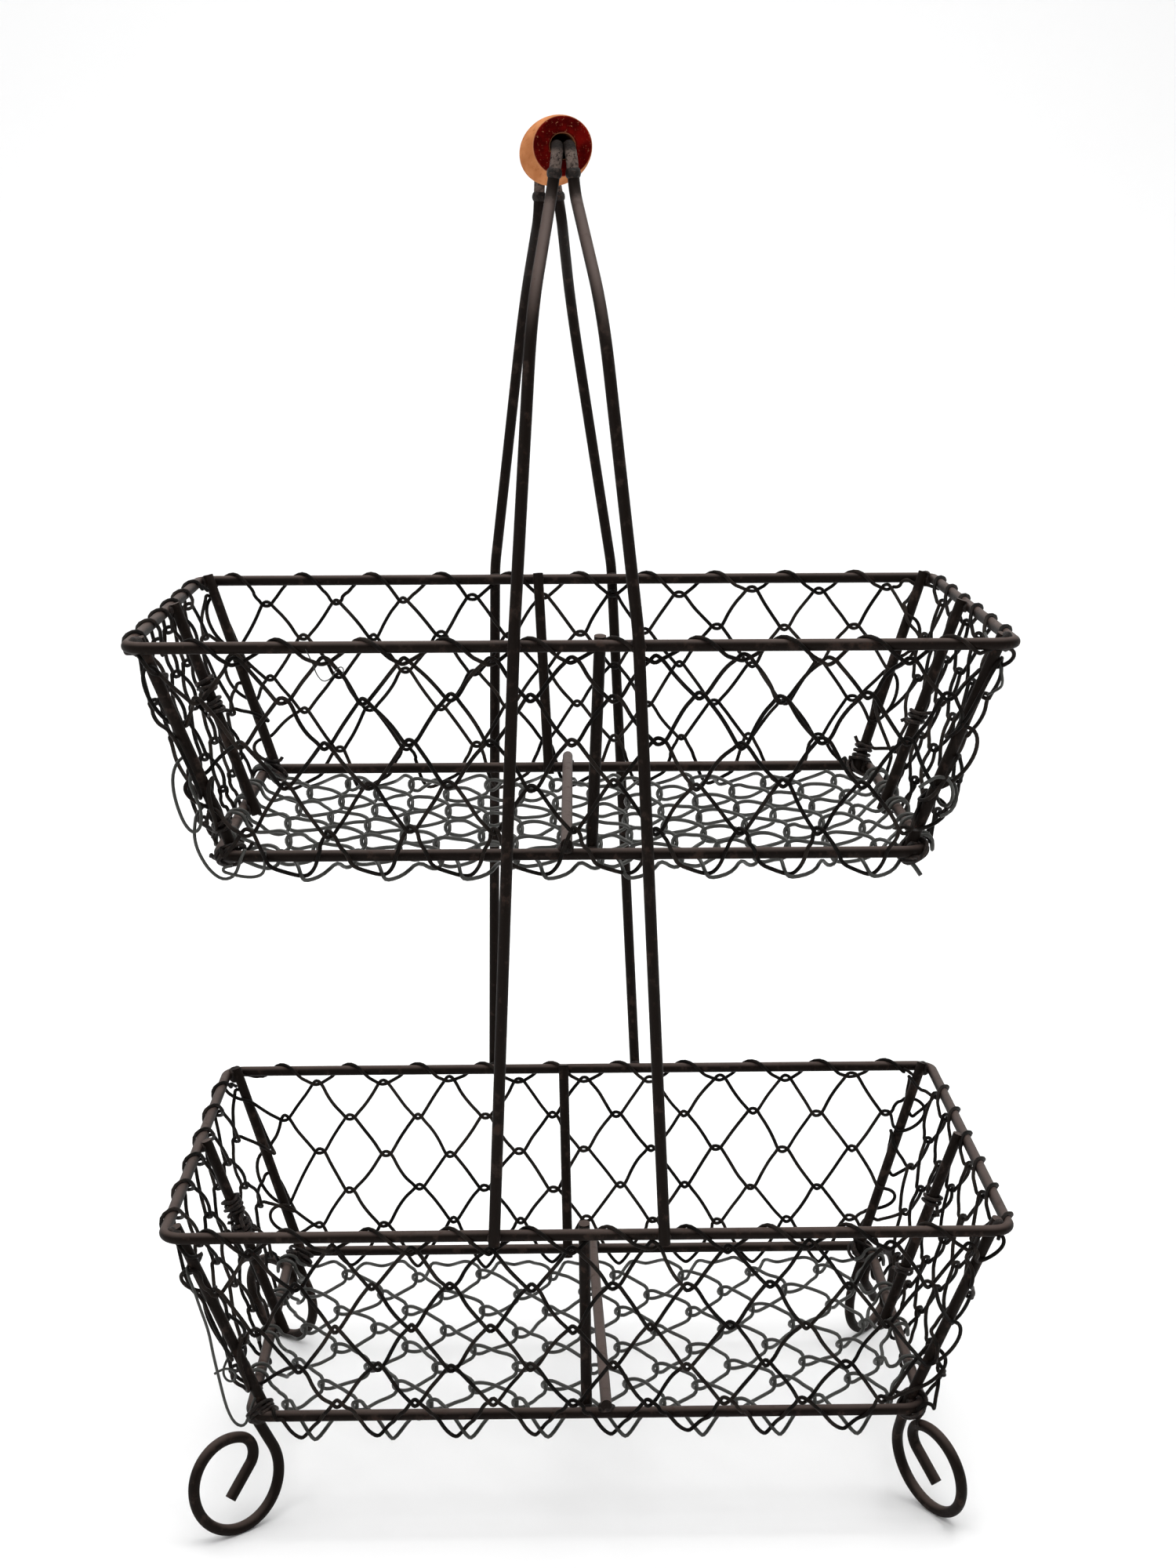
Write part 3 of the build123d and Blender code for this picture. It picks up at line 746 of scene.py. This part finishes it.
def post_tie(name, share, turns, wire):
    """Wire wound tightly round a mid post, at a share of its height from its foot."""
    chance = random.Random(f"{name} {share} tie")
    low, high = rod_ends(name)
    along = (high - low).normalized()
    across = along.orthogonal().normalized()
    away = along.cross(across)
    reach = ROD_RADIUS + wire / 2 + TIE_ROOM["post"]
    return winding(low + (high - low) * share, across, away, along, reach, reach, turns, chance)


def corner_tie(tier, name, outward, wire):
    """Wire wound aslant round the crossing of a corner post and the bottom ring."""
    chance = random.Random(f"{name} tie")
    ends = rod_ends(name)
    height = hoop(f"{tier}_bottom_ring")["middle"].z
    level = outward.cross(UPWARD)
    rising = (ends[1] - ends[0]).normalized()
    along = (level + rising).normalized()
    across = outward.cross(along).normalized()
    middle = at_height(ends, height) + outward * ROD_RADIUS
    half_across = ROD_RADIUS * math.sqrt(2) + wire
    half_away = 2 * ROD_RADIUS + wire / 2 + TIE_ROOM["corner"]
    return winding(middle, across, outward, along, half_across, half_away, CORNER_TIE_TURNS, chance)


def corners():
    """Every corner of the basket, as its face, its end and the level direction outward from it."""
    for face in DEEP:
        for end in ACROSS:
            yield face, end, Vector((ACROSS[end], DEEP[face], 0)).normalized()


def basket_welds(tier):
    """The welds of one basket: each one's middle, the direction between its rods, and its size."""
    places = []
    heights = [hoop(f"{tier}_{level}")["middle"].z for level in ("top_rim", "bottom_ring")]
    size = WELD_SIZES["mid_post"]
    posts = [(f"{tier}_{side}_mid_post", Vector((x, y, 0)), size) for side, (x, y) in SIDES.items()]
    for face, end, outward in corners():
        posts.append((f"{tier}_{face}_{end}_post", outward, WELD_SIZES["corner_post"]))
    for name, outward, size in posts:
        ends = rod_ends(name)
        for height in heights:
            places.append((at_height(ends, height) + outward * ROD_RADIUS, outward, size))
    for spot in rod_ends(f"{tier}_floor_crossbar", axis=1):
        inward = Vector((0, -math.copysign(CROSSBAR_OVERHANG, spot.y), -ROD_RADIUS))
        places.append((spot + inward, UPWARD, WELD_SIZES["crossbar"]))
    return places


def upright_welds():
    """The welds of the uprights and of the feet, in the same form."""
    places = []
    rim = hoop("upper_top_rim")
    for face, end, _ in corners():
        outward = Vector((0, DEEP[face], 0))
        name = f"{face}_{end}_upright"
        foot = rod_ends(name)[0] + UPWARD * ROD_RADIUS - outward * ROD_RADIUS
        places.append((foot, outward, WELD_SIZES["upright"]))
        y = rim["middle"].y + outward.y * (rim["half"].y + ROD_RADIUS)
        crossing = Vector((UPRIGHT_AT_UPPER_RIM[name], y, rim["middle"].z))
        places.append((crossing, outward, WELD_SIZES["upright"]))
        places.append((rod_ends(f"lower_{face}_{end}_foot")[1], UPWARD, WELD_SIZES["foot"]))
    return places


def finished(piece, material, slot, *stood_for):
    """Gives a new piece its material and its body, and hides the nodes that it stands for. The slot is not
    used.
    """
    piece.data.materials.clear()
    piece.data.materials.append(material)
    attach(piece, BODY)
    if stood_for:
        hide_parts(*stood_for)
    return piece


class Signal:
    """A socket in a material that the signs of arithmetic work on: each one adds a Math node."""

    def __init__(self, finish, socket):
        self.finish = finish
        self.socket = socket

    def math(self, operation, *terms):
        return self.finish.node("ShaderNodeMath", {"operation": operation}, dict(enumerate(terms)))

    def __add__(self, other):
        return self.math("ADD", self, other)

    def __radd__(self, other):
        return self.math("ADD", other, self)

    def __sub__(self, other):
        return self.math("SUBTRACT", self, other)

    def __rsub__(self, other):
        return self.math("SUBTRACT", other, self)

    def __mul__(self, other):
        return self.math("MULTIPLY", self, other)

    def __rmul__(self, other):
        return self.math("MULTIPLY", other, self)

    def size(self):
        """The same without its sign."""
        return self.math("ABSOLUTE", self)


class Finish:
    """A material or the surroundings, built one node at a time on the piece's own coordinates."""

    def __init__(self, name, kind="materials", coordinates="Object"):
        self.owner = getattr(bpy.data, kind).new(name)
        self.owner.use_nodes = True
        self.tree = self.owner.node_tree
        self.tree.nodes.clear()
        self.places = self.node("ShaderNodeTexCoord", output=coordinates)

    def node(self, kind, settings=None, inputs=None, output=0):
        """Adds a node: its settings first, then the values or links of its sockets."""
        made = self.tree.nodes.new(kind)
        for name, value in (settings or {}).items():
            setattr(made, name, value)
        for name, value in (inputs or {}).items():
            if isinstance(value, Signal):
                self.tree.links.new(value.socket, made.inputs[name])
            else:
                made.inputs[name].default_value = value
        return None if output is None else Signal(self, made.outputs[output])

    def noise(self, scale, detail, roughness, places=None):
        """Cloudy noise from 0 to 1, on the piece's own coordinates or on others."""
        inputs = {"Vector": places or self.places, "Scale": scale, "Detail": detail, "Roughness": roughness}
        return self.node("ShaderNodeTexNoise", inputs=inputs)

    def part_of(self, vector, axis):
        """One part of a vector: 0 for X, 1 for Y, 2 for Z."""
        return self.node("ShaderNodeSeparateXYZ", inputs={0: vector}, output=axis)

    def between(self, value, low, high):
        """0 below low, 1 above high, and smooth in between."""
        inputs = {"Value": value, "From Min": low, "From Max": high}
        return self.node("ShaderNodeMapRange", {"interpolation_type": "SMOOTHSTEP"}, inputs)

    def mixed(self, share, first, second):
        """A colour between two colours."""
        inputs = {0: share, 6: rgba(first), 7: rgba(second)}
        return self.node("ShaderNodeMix", {"data_type": "RGBA"}, inputs, output=2)

    def bump(self, height, strength, distance):
        """The surface's direction over a relief. The distance is in metres."""
        inputs = {"Height": height, "Strength": strength, "Distance": distance}
        return self.node("ShaderNodeBump", inputs=inputs)

    def finish(self, colour, roughness, normal, **constants):
        """The shader and the output. Constants go straight onto the shader's own sockets."""
        inputs = {"Base Color": colour, "Roughness": roughness, "Normal": normal}
        inputs.update({name.replace("_", " "): value for name, value in constants.items()})
        shader = self.node("ShaderNodeBsdfPrincipled", inputs=inputs)
        self.node("ShaderNodeOutputMaterial", inputs={"Surface": shader}, output=None)
        return self.owner


def rgba(colour):
    """A colour with full cover. One that another node makes stays as it is."""
    return colour if isinstance(colour, Signal) else (*colour, 1.0)


def painted_rod(colours, name="painted_rod", extra_painted_light=0.0):
    """Brushed brown-black paint over rod, paler on its upper sides with dust and with painted light from
    above, painted paler higher up, with rubbed and rusty flecks.
    """
    f = Finish(name)
    cloud = f.noise(22.0, 4.0, 0.55)
    streak = f.noise(190.0, 4.0, 0.6)
    grit = f.noise(1500.0, 2.0, 0.5)
    normal = f.node("ShaderNodeNewGeometry", output="Normal")
    upward = f.part_of(normal, 2)
    height = f.part_of(f.places, 2)
    # Painted light: the paint is painted paler higher up, where the uprights lean toward the light above
    painted_light_high_up = f.between(height, *PAINTED_LIGHT_HEIGHTS)
    # Partly random dust, partly painted light: paler where the surface faces up, higher up, and on the floor
    # crossbars
    dust_and_painted_light = f.between(upward * 0.9 + cloud * 0.45 + painted_light_high_up * 0.4 + extra_painted_light, 0.5, 1.25)
    rubbed = f.between(streak + cloud * 0.3, 0.68, 0.84)
    rusty = f.between(streak * 0.6 + grit * 0.4, 0.57, 0.68)
    base = f.mixed(dust_and_painted_light, colours.rod_shade, colours.rod_light)
    base = f.mixed(rubbed * 0.4, base, colours.rod_rubbed)
    base = f.mixed(rusty * 0.3, base, colours.rod_rust)
    burnt = f.between(height + streak * 0.012, *BURNT)
    base = f.mixed(burnt * 0.8, base, colours.rod_shade)
    relief = cloud * 0.2 + streak * 0.4 + grit * 0.4
    roughness = 0.44 + rusty * 0.2 + streak * 0.12
    return f.finish(base, roughness, f.bump(relief, 0.45, 0.0004), Specular_IOR_Level=0.06)


def grip_wire_paint(colours):
    """The same paint, thin and blistered by the welding heat: grey-brown and rough."""
    f = Finish("heat_marked_rod")
    cloud = f.noise(60.0, 5.0, 0.65)
    pits = f.noise(620.0, 4.0, 0.7)
    burnt = f.between(cloud + pits * 0.3, 0.5, 0.8)
    base = f.mixed(burnt, colours.grip_wire, colours.rod_light)
    base = f.mixed(f.between(pits, 0.48, 0.62) * 0.8, base, colours.rod_shade)
    height = f.part_of(f.places, 2)
    # Painted shade: the wires are painted darker at the top of their bend, where they go into the grip's bore
    shaded = f.between(height, *SHADED)
    base = f.mixed(shaded, base, colours.rod_shade)
    return f.finish(base, 0.55 + pits * 0.25, f.bump(pits, 1.0, 0.0009), Specular_IOR_Level=0.1)


def weld_metal(colours):
    """Dark, lumpy metal of the welds under the same paint."""
    f = Finish("weld_metal")
    lumps = f.noise(420.0, 4.0, 0.65)
    base = f.mixed(f.between(lumps, 0.45, 0.75), colours.rod_shade, colours.rod_rubbed)
    return f.finish(base, 0.45 + lumps * 0.2, f.bump(lumps, 0.9, 0.0008), Specular_IOR_Level=0.18)


def netting_wire(colours):
    """Black annealed wire under thin brown paint, with brown rubbed places."""
    f = Finish("netting_wire")
    cloud = f.noise(45.0, 4.0, 0.6)
    fleck = f.noise(900.0, 3.0, 0.6)
    base = f.mixed(f.between(cloud, 0.42, 0.68), colours.wire_shade, colours.wire_light)
    base = f.mixed(f.between(fleck, 0.58, 0.74) * 0.4, base, colours.rod_rust)
    return f.finish(base, 0.42 + fleck * 0.2, f.bump(fleck, 0.35, 0.0002), Specular_IOR_Level=0.05)


def stained_grip(colours):
    """A turned hardwood barrel: orange-brown lacquered side with grain along it, and dark red end faces."""
    f = Finish("stained_wood")
    low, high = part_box("wooden_grip")
    middle = (low + high) / 2
    axis = (-math.sin(GRIP_TURN), math.cos(GRIP_TURN), 0.0)
    away = f.node("ShaderNodeVectorMath", {"operation": "SUBTRACT"}, {0: f.places, 1: tuple(middle)})
    along = f.node("ShaderNodeVectorMath", {"operation": "DOT_PRODUCT"}, {0: away, 1: axis}, output=1)
    stretch = {"Vector": away, "Rotation": (0.0, 0.0, -GRIP_TURN), "Scale": (1.0, 0.09, 1.0)}
    grain_places = f.node("ShaderNodeMapping", inputs=stretch)
    grain = f.noise(520.0, 5.0, 0.65, grain_places)
    figure = f.noise(150.0, 3.0, 0.5, grain_places)
    pores = f.noise(2300.0, 2.0, 0.5, grain_places)
    side = f.mixed(f.between(figure, 0.35, 0.68), colours.wood_side, colours.wood_side_light)
    side = f.mixed(f.between(grain, 0.52, 0.72) * 0.6, side, colours.wood_grain)
    speck = f.noise(1100.0, 3.0, 0.6)
    end = f.mixed(f.between(figure, 0.35, 0.7), colours.wood_end, colours.wood_end_light)
    end = f.mixed(f.between(speck, 0.6, 0.72) * 0.7, end, colours.wood_specks_and_edge_highlight)
    on_end = f.between(along.size(), *(GRIP_HALF - depth for depth in GRIP_END_BAND))
    # Painted highlight: a paler band round the edge of each end face
    edge_highlight = f.between(along.size(), *(GRIP_HALF - depth for depth in GRIP_EDGE_HIGHLIGHT_BAND)) * (1 - on_end)
    colour = f.mixed(on_end, side, end)
    colour = f.mixed(edge_highlight * 0.75, colour, colours.wood_specks_and_edge_highlight)
    relief = grain * 0.5 + pores * 0.3
    roughness = 0.42 + grain * 0.14 + on_end * 0.2
    return f.finish(colour, roughness, f.bump(relief, 0.3, 0.0003), Specular_IOR_Level=0.0)


def length_property(name, description, default, least, most):
    """A length in metres with its range."""
    return bpy.props.FloatProperty(
        name=name, description=description, default=default, min=least, max=most,
        precision=5, unit="LENGTH", subtype="DISTANCE",
    )


class NettingSettings(bpy.types.PropertyGroup):
    """Sizes of the netting."""

    wire_diameter: length_property(
        "Wire diameter", "Thickness of the netting wire", 0.0017, 0.0005, 0.003
    )
    net_thickness: length_property(
        "Net thickness", "From the inner to the outer side of a hooked row", 0.0064, 0.002, 0.01
    )
    floor_thickness: length_property(
        "Floor net thickness", "From the lower to the upper side of a floor net", 0.01, 0.002, 0.015
    )
    strand_bow: length_property(
        "Strand bow", "How far a strand may bow between two knots", 0.0009, 0.0, 0.004
    )
    unevenness: length_property(
        "Unevenness", "How far a knot may stand from its place", 0.0012, 0.0, 0.005
    )
    floor_unevenness: length_property(
        "Floor unevenness", "How far a knot of a floor net may stand from its place", 0.0022, 0.0, 0.005
    )


def colour_property(name, description, default):
    """A colour of three parts."""
    return bpy.props.FloatVectorProperty(
        name=name, description=description, default=default, size=3, min=0.0, max=1.0, subtype="COLOR"
    )


class ColourSettings(bpy.types.PropertyGroup):
    """Colours of the paint, the wire and the wood."""

    # The rods' dark paint, and the paler colour of dust and of painted light from above on their upper sides
    rod_shade: colour_property("Rod, shade", "Paint on the rod's lower sides", (0.0075, 0.0048, 0.0036))
    rod_light: colour_property("Rod, light", "Paint on the rod's upper sides", (0.085, 0.062, 0.054))
    rod_rubbed: colour_property("Rod, rubbed", "Paint where it is rubbed", (0.050, 0.034, 0.028))
    rod_rust: colour_property("Rust", "Rusty flecks", (0.045, 0.018, 0.011))
    grip_wire: colour_property("Grip wires", "Heat-marked paint on the grip's wires", (0.150, 0.112, 0.094))
    wire_shade: colour_property("Netting, dark", "Netting wire", (0.004, 0.0032, 0.0027))
    wire_light: colour_property("Netting, light", "Rubbed netting wire", (0.021, 0.0162, 0.0134))
    wood_side: colour_property("Grip side", "Stained wood", (0.400, 0.150, 0.058))
    wood_side_light: colour_property("Grip side, light", "Lighter figure of the wood", (0.520, 0.215, 0.090))
    wood_grain: colour_property("Grip grain", "Dark grain lines", (0.250, 0.080, 0.030))
    wood_end: colour_property("Grip end", "Dark red end face", (0.050, 0.0015, 0.0015))
    wood_end_light: colour_property("Grip end, light", "Lighter part of the end face", (0.150, 0.004, 0.003))
    # A paler colour for the specks on the end faces and for the painted highlight along their edges
    wood_specks_and_edge_highlight: colour_property("Grip edge", "Worn edge of the end face", (0.460, 0.190, 0.100))


def power_property(name, description, default):
    """A lamp's power in watts."""
    return bpy.props.FloatProperty(
        name=name, description=description, default=default, min=0.0, unit="POWER"
    )


def strength_property(name, description, default):
    """A brightness without a unit."""
    return bpy.props.FloatProperty(name=name, description=description, default=default, min=0.0, max=5.0)


class StageSettings(bpy.types.PropertyGroup):
    """Floor and light."""

    floor_colour: colour_property("Floor", "Pale floor and backdrop", (0.92, 0.92, 0.92))
    light_power: power_property("Light power", "Power of the large light overhead", 42.0)
    backdrop_power: power_property("Backdrop light", "Power of the light on the backdrop", 60.0)
    sky_strength: strength_property("Surroundings", "Brightness of the pale surroundings at the back", 1.0)
    front_strength: strength_property(
        "Front surroundings", "Brightness of the surroundings behind the camera", 0.3
    )


class BASKET_OT_weave_side_nets(bpy.types.Operator):
    """Weave the hooked netting of the eight leaning sides"""

    bl_idname = "basket.weave_side_nets"
    bl_label = "Weave side nets"
    bl_options = {"REGISTER", "UNDO"}

    def execute(self, context):
        settings = context.scene.basket_netting
        material = netting_wire(context.scene.basket_colours)
        for tier in TIERS:
            for side in SIDES:
                net = SideNet(tier, side, settings)
                name = f"{tier}_{side}_netting"
                piece = wire_piece(name, [net.path()], net.side.place, settings.wire_diameter)
                finished(piece, material, "netting_wire", f"{tier}_{side}_net")
        return {"FINISHED"}


class BASKET_OT_weave_floor_nets(bpy.types.Operator):
    """Weave the two floor nets, hooked to the side nets under the rings"""

    bl_idname = "basket.weave_floor_nets"
    bl_label = "Weave floor nets"
    bl_options = {"REGISTER", "UNDO"}

    def execute(self, context):
        settings = context.scene.basket_netting
        material = bpy.data.materials["netting_wire"]
        for tier in TIERS:
            hooks = {
                "front": hook_places(tier, "front", BIGHT_SIDE_STEP[tier]),
                "rear": hook_places(tier, "rear", -BIGHT_SIDE_STEP[tier]),
            }
            net = FloorNet(tier, settings, hooks)
            name = f"{tier}_floor_netting"
            piece = wire_piece(name, [net.path()], net.place, settings.wire_diameter)
            finished(piece, material, "netting_wire", f"{tier}_floor_net")
        return {"FINISHED"}


class BASKET_OT_wind_ties(bpy.types.Operator):
    """Wind wire round the posts and the ring corners, and add the loose wires"""

    bl_idname = "basket.wind_ties"
    bl_label = "Wind ties"
    bl_options = {"REGISTER", "UNDO"}

    def execute(self, context):
        settings = context.scene.basket_netting
        material = bpy.data.materials["netting_wire"]
        rusty = weld_metal(context.scene.basket_colours)
        wire = settings.wire_diameter / MM
        for name, ties in POST_TIES.items():
            paths = [post_tie(name, share, turns, wire) for share, turns in ties]
            piece = wire_piece(f"{name}_tie", paths, in_metres, settings.wire_diameter)
            finished(piece, rusty, "netting_wire")
        for tier in TIERS:
            for face, end, outward in corners():
                name = f"{tier}_{face}_{end}"
                path = corner_tie(tier, f"{name}_post", outward, wire)
                piece = wire_piece(f"{name}_tie", [path], in_metres, settings.wire_diameter)
                finished(piece, rusty, "netting_wire")
        for name, (tier, side, thickness, route) in LOOSE_WIRES.items():
            piece = wire_piece(f"{tier}_{name}", [route], Side(tier, side).place, thickness * MM)
            finished(piece, material, "netting_wire")
        return {"FINISHED"}


class BASKET_OT_add_welds(bpy.types.Operator):
    """Add a lump of weld metal at every crossing of two rods"""

    bl_idname = "basket.add_welds"
    bl_label = "Add welds"
    bl_options = {"REGISTER", "UNDO"}

    def execute(self, context):
        material = bpy.data.materials["weld_metal"]
        model = weld_model()
        chance = random.Random("welds")
        places = [*basket_welds("upper"), *basket_welds("lower"), *upright_welds()]
        for number, (middle, direction, size) in enumerate(places):
            lump = model.copy()
            lump.data = model.data.copy()
            lump.name = f"weld_lump_{number:02d}"
            context.scene.collection.objects.link(lump)
            turn = direction.to_track_quat("Z", "Y").to_matrix().to_4x4()
            roll = Matrix.Rotation(chance.uniform(0, 2 * math.pi), 4, "Z")
            scale = Matrix.Diagonal([size * chance.uniform(*WELD_UNEVENNESS) for _ in range(3)]).to_4x4()
            lump.data.transform(Matrix.Translation(middle * MM) @ turn @ roll @ scale)
            finished(lump, material, "painted_rod")
        bpy.data.objects.remove(model)
        return {"FINISHED"}


def weld_model():
    """One lump of weld metal round the origin, flattest along Z, dented unevenly."""
    bpy.ops.object.select_all(action="DESELECT")
    bpy.ops.mesh.primitive_ico_sphere_add(subdivisions=3, radius=WELD_REACH * MM, location=(0, 0, 0))
    model = bpy.context.object
    bpy.ops.object.mode_set(mode="EDIT")
    bpy.ops.mesh.select_all(action="SELECT")
    bpy.ops.transform.resize(value=(1, 1, WELD_FLATNESS))
    bpy.ops.transform.vertex_random(offset=WELD_DENTS * MM, normal=0.6, seed=WELD_DENT_SEED)
    bpy.ops.mesh.vertices_smooth(factor=0.5, repeat=2)
    bpy.ops.mesh.normals_make_consistent(inside=False)
    bpy.ops.object.mode_set(mode="OBJECT")
    bpy.ops.object.shade_smooth()
    return model


class BASKET_OT_paint_rods(bpy.types.Operator):
    """Paint the rods, the welds and the wires through the grip"""

    bl_idname = "basket.paint_rods"
    bl_label = "Paint rods"
    bl_options = {"REGISTER", "UNDO"}

    def execute(self, context):
        colours = context.scene.basket_colours
        rod = painted_rod(colours)
        finishes = {
            "_weld": bpy.data.materials["weld_metal"],
            "_grip_wire": grip_wire_paint(colours),
            # Painted light: the floor crossbars are painted paler, as a strong light from above would show
            # them
            "_floor_crossbar": painted_rod(colours, "rod_with_painted_light", extra_painted_light=0.35),
        }
        for name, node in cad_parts.items():
            if name.endswith("_net") or name == "wooden_grip":
                continue
            material = rod
            for ending, finish in finishes.items():
                if name.endswith(ending):
                    material = finish
            node.material_slots[0].material = material
        return {"FINISHED"}


class BASKET_OT_stain_grip(bpy.types.Operator):
    """Stain and lacquer the turned wooden grip"""

    bl_idname = "basket.stain_grip"
    bl_label = "Stain grip"
    bl_options = {"REGISTER", "UNDO"}

    def execute(self, context):
        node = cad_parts["wooden_grip"]
        node.material_slots[0].material = stained_grip(context.scene.basket_colours)
        return {"FINISHED"}


class BASKET_OT_set_stage(bpy.types.Operator):
    """Set the pale floor and backdrop, the soft lights and the camera"""

    bl_idname = "basket.set_stage"
    bl_label = "Set stage"
    bl_options = {"REGISTER", "UNDO"}

    def execute(self, context):
        settings = context.scene.basket_stage
        lay_floor(settings)
        hang_lights(settings)
        place_camera(context.scene)
        return {"FINISHED"}


def lay_floor(settings):
    """A wide floor that sweeps up into a backdrop."""
    bpy.ops.object.select_all(action="DESELECT")
    bpy.ops.mesh.primitive_plane_add(size=FLOOR_SIZE, location=(0, 0, 0))
    floor = bpy.context.object
    floor.name = "floor"
    bpy.ops.object.mode_set(mode="EDIT")
    bpy.ops.mesh.select_all(action="DESELECT")
    bpy.ops.object.mode_set(mode="OBJECT")
    rear = FLOOR_SIZE / 2 - FLOOR_EDGE_ROOM
    for edge in floor.data.edges:
        edge.select = all(floor.data.vertices[number].co.y > rear for number in edge.vertices)
    bpy.ops.object.mode_set(mode="EDIT")
    bpy.ops.mesh.extrude_region_move(TRANSFORM_OT_translate={"value": (0, 0, BACKDROP_HEIGHT)})
    bpy.ops.mesh.select_all(action="DESELECT")
    bpy.ops.object.mode_set(mode="OBJECT")
    for edge in floor.data.edges:
        ends = [floor.data.vertices[number].co for number in edge.vertices]
        edge.select = all(end.y > rear and end.z < FLOOR_EDGE_ROOM for end in ends)
    bpy.ops.object.mode_set(mode="EDIT")
    bpy.ops.mesh.select_mode(type="EDGE")
    bpy.ops.mesh.bevel(offset=SWEEP_RADIUS, segments=SWEEP_STEPS)
    bpy.ops.object.mode_set(mode="OBJECT")
    bpy.ops.object.shade_smooth()
    f = Finish("pale_floor")
    mottle = f.noise(1.5, 2.0, 0.5)
    paler = [min(1.0, part * 1.02) for part in settings.floor_colour]
    tone = f.mixed(mottle, settings.floor_colour, paler)
    material = f.finish(tone, 0.9 - mottle * 0.05, f.bump(mottle, 0.02, 0.001))
    floor.data.materials.clear()
    floor.data.materials.append(material)


def area_light(name, power, size, location, target):
    """A rectangular light that faces a point."""
    data = bpy.data.lights.new(name, "AREA")
    data.shape = "RECTANGLE"
    data.size, data.size_y = size
    data.energy = power
    light = bpy.data.objects.new(name, data)
    light.location = location
    light.rotation_euler = (Vector(target) - Vector(location)).to_track_quat("-Z", "Y").to_euler()
    bpy.context.scene.collection.objects.link(light)


def hang_lights(settings):
    """A large soft light overhead, a weaker one at the front left, and surroundings pale at the back."""
    powers = {
        "overhead": settings.light_power,
        "front_left": settings.light_power * FRONT_LIGHT_SHARE,
        "backdrop": settings.backdrop_power,
    }
    for name, (size, place, target) in LIGHTS.items():
        area_light(name, powers[name], size, place, target)
    f = Finish("surroundings", "worlds", "Generated")
    toward_back = f.part_of(f.places, 1)
    paleness = f.between(toward_back, -0.9, 0.5)
    strength = paleness * (settings.sky_strength - settings.front_strength) + settings.front_strength
    sky = f.node("ShaderNodeBackground", inputs={"Color": (1, 1, 1, 1), "Strength": strength})
    f.node("ShaderNodeOutputWorld", inputs={"Surface": sky}, output=None)
    bpy.context.scene.world = f.owner


def place_camera(scene):
    """The camera at the photograph's place: level heading, then tilted down, then rolled."""
    data = bpy.data.cameras.new("camera")
    data.sensor_fit = "AUTO"
    data.sensor_width = CAMERA_SENSOR
    data.lens = CAMERA_LENS
    data.clip_start = CAMERA_NEAREST
    camera = bpy.data.objects.new("camera", data)
    heading = Matrix.Rotation(math.radians(-CAMERA_HEADING), 4, "Z")
    tilt = Matrix.Rotation(math.radians(90 - CAMERA_PITCH), 4, "X")
    roll = Matrix.Rotation(math.radians(CAMERA_ROLL), 4, "Z")
    camera.matrix_world = Matrix.Translation(CAMERA_PLACE) @ heading @ tilt @ roll
    scene.collection.objects.link(camera)
    scene.camera = camera
    scene.view_settings.view_transform = "Standard"


class BASKET_PT_sidebar(bpy.types.Panel):
    """The basket's steps and sizes in the sidebar"""

    bl_idname = "BASKET_PT_sidebar"
    bl_label = "Tiered wire basket"
    bl_space_type = "VIEW_3D"
    bl_region_type = "UI"
    bl_category = "Basket"

    def draw(self, context):
        layout = self.layout
        for step in STEPS:
            layout.operator(step.bl_idname)
        for name, group in SETTINGS.items():
            box = layout.box()
            for value in group.__annotations__:
                box.prop(getattr(context.scene, name), value)


STEPS = (
    BASKET_OT_weave_side_nets,
    BASKET_OT_weave_floor_nets,
    BASKET_OT_wind_ties,
    BASKET_OT_add_welds,
    BASKET_OT_paint_rods,
    BASKET_OT_stain_grip,
    BASKET_OT_set_stage,
)
SETTINGS = {
    "basket_netting": NettingSettings,
    "basket_colours": ColourSettings,
    "basket_stage": StageSettings,
}


def register():
    for group in SETTINGS.values():
        bpy.utils.register_class(group)
    for name, group in SETTINGS.items():
        setattr(bpy.types.Scene, name, bpy.props.PointerProperty(type=group))
    for step in STEPS:
        bpy.utils.register_class(step)
    bpy.utils.register_class(BASKET_PT_sidebar)


def unregister():
    bpy.utils.unregister_class(BASKET_PT_sidebar)
    for step in reversed(STEPS):
        bpy.utils.unregister_class(step)
    for name in SETTINGS:
        delattr(bpy.types.Scene, name)
    for group in SETTINGS.values():
        bpy.utils.unregister_class(group)


def main():
    register()
    bpy.ops.basket.weave_side_nets()
    bpy.ops.basket.weave_floor_nets()
    bpy.ops.basket.wind_ties()
    bpy.ops.basket.add_welds()
    bpy.ops.basket.paint_rods()
    bpy.ops.basket.stain_grip()
    bpy.ops.basket.set_stage()


if __name__ == "__main__":
    main()
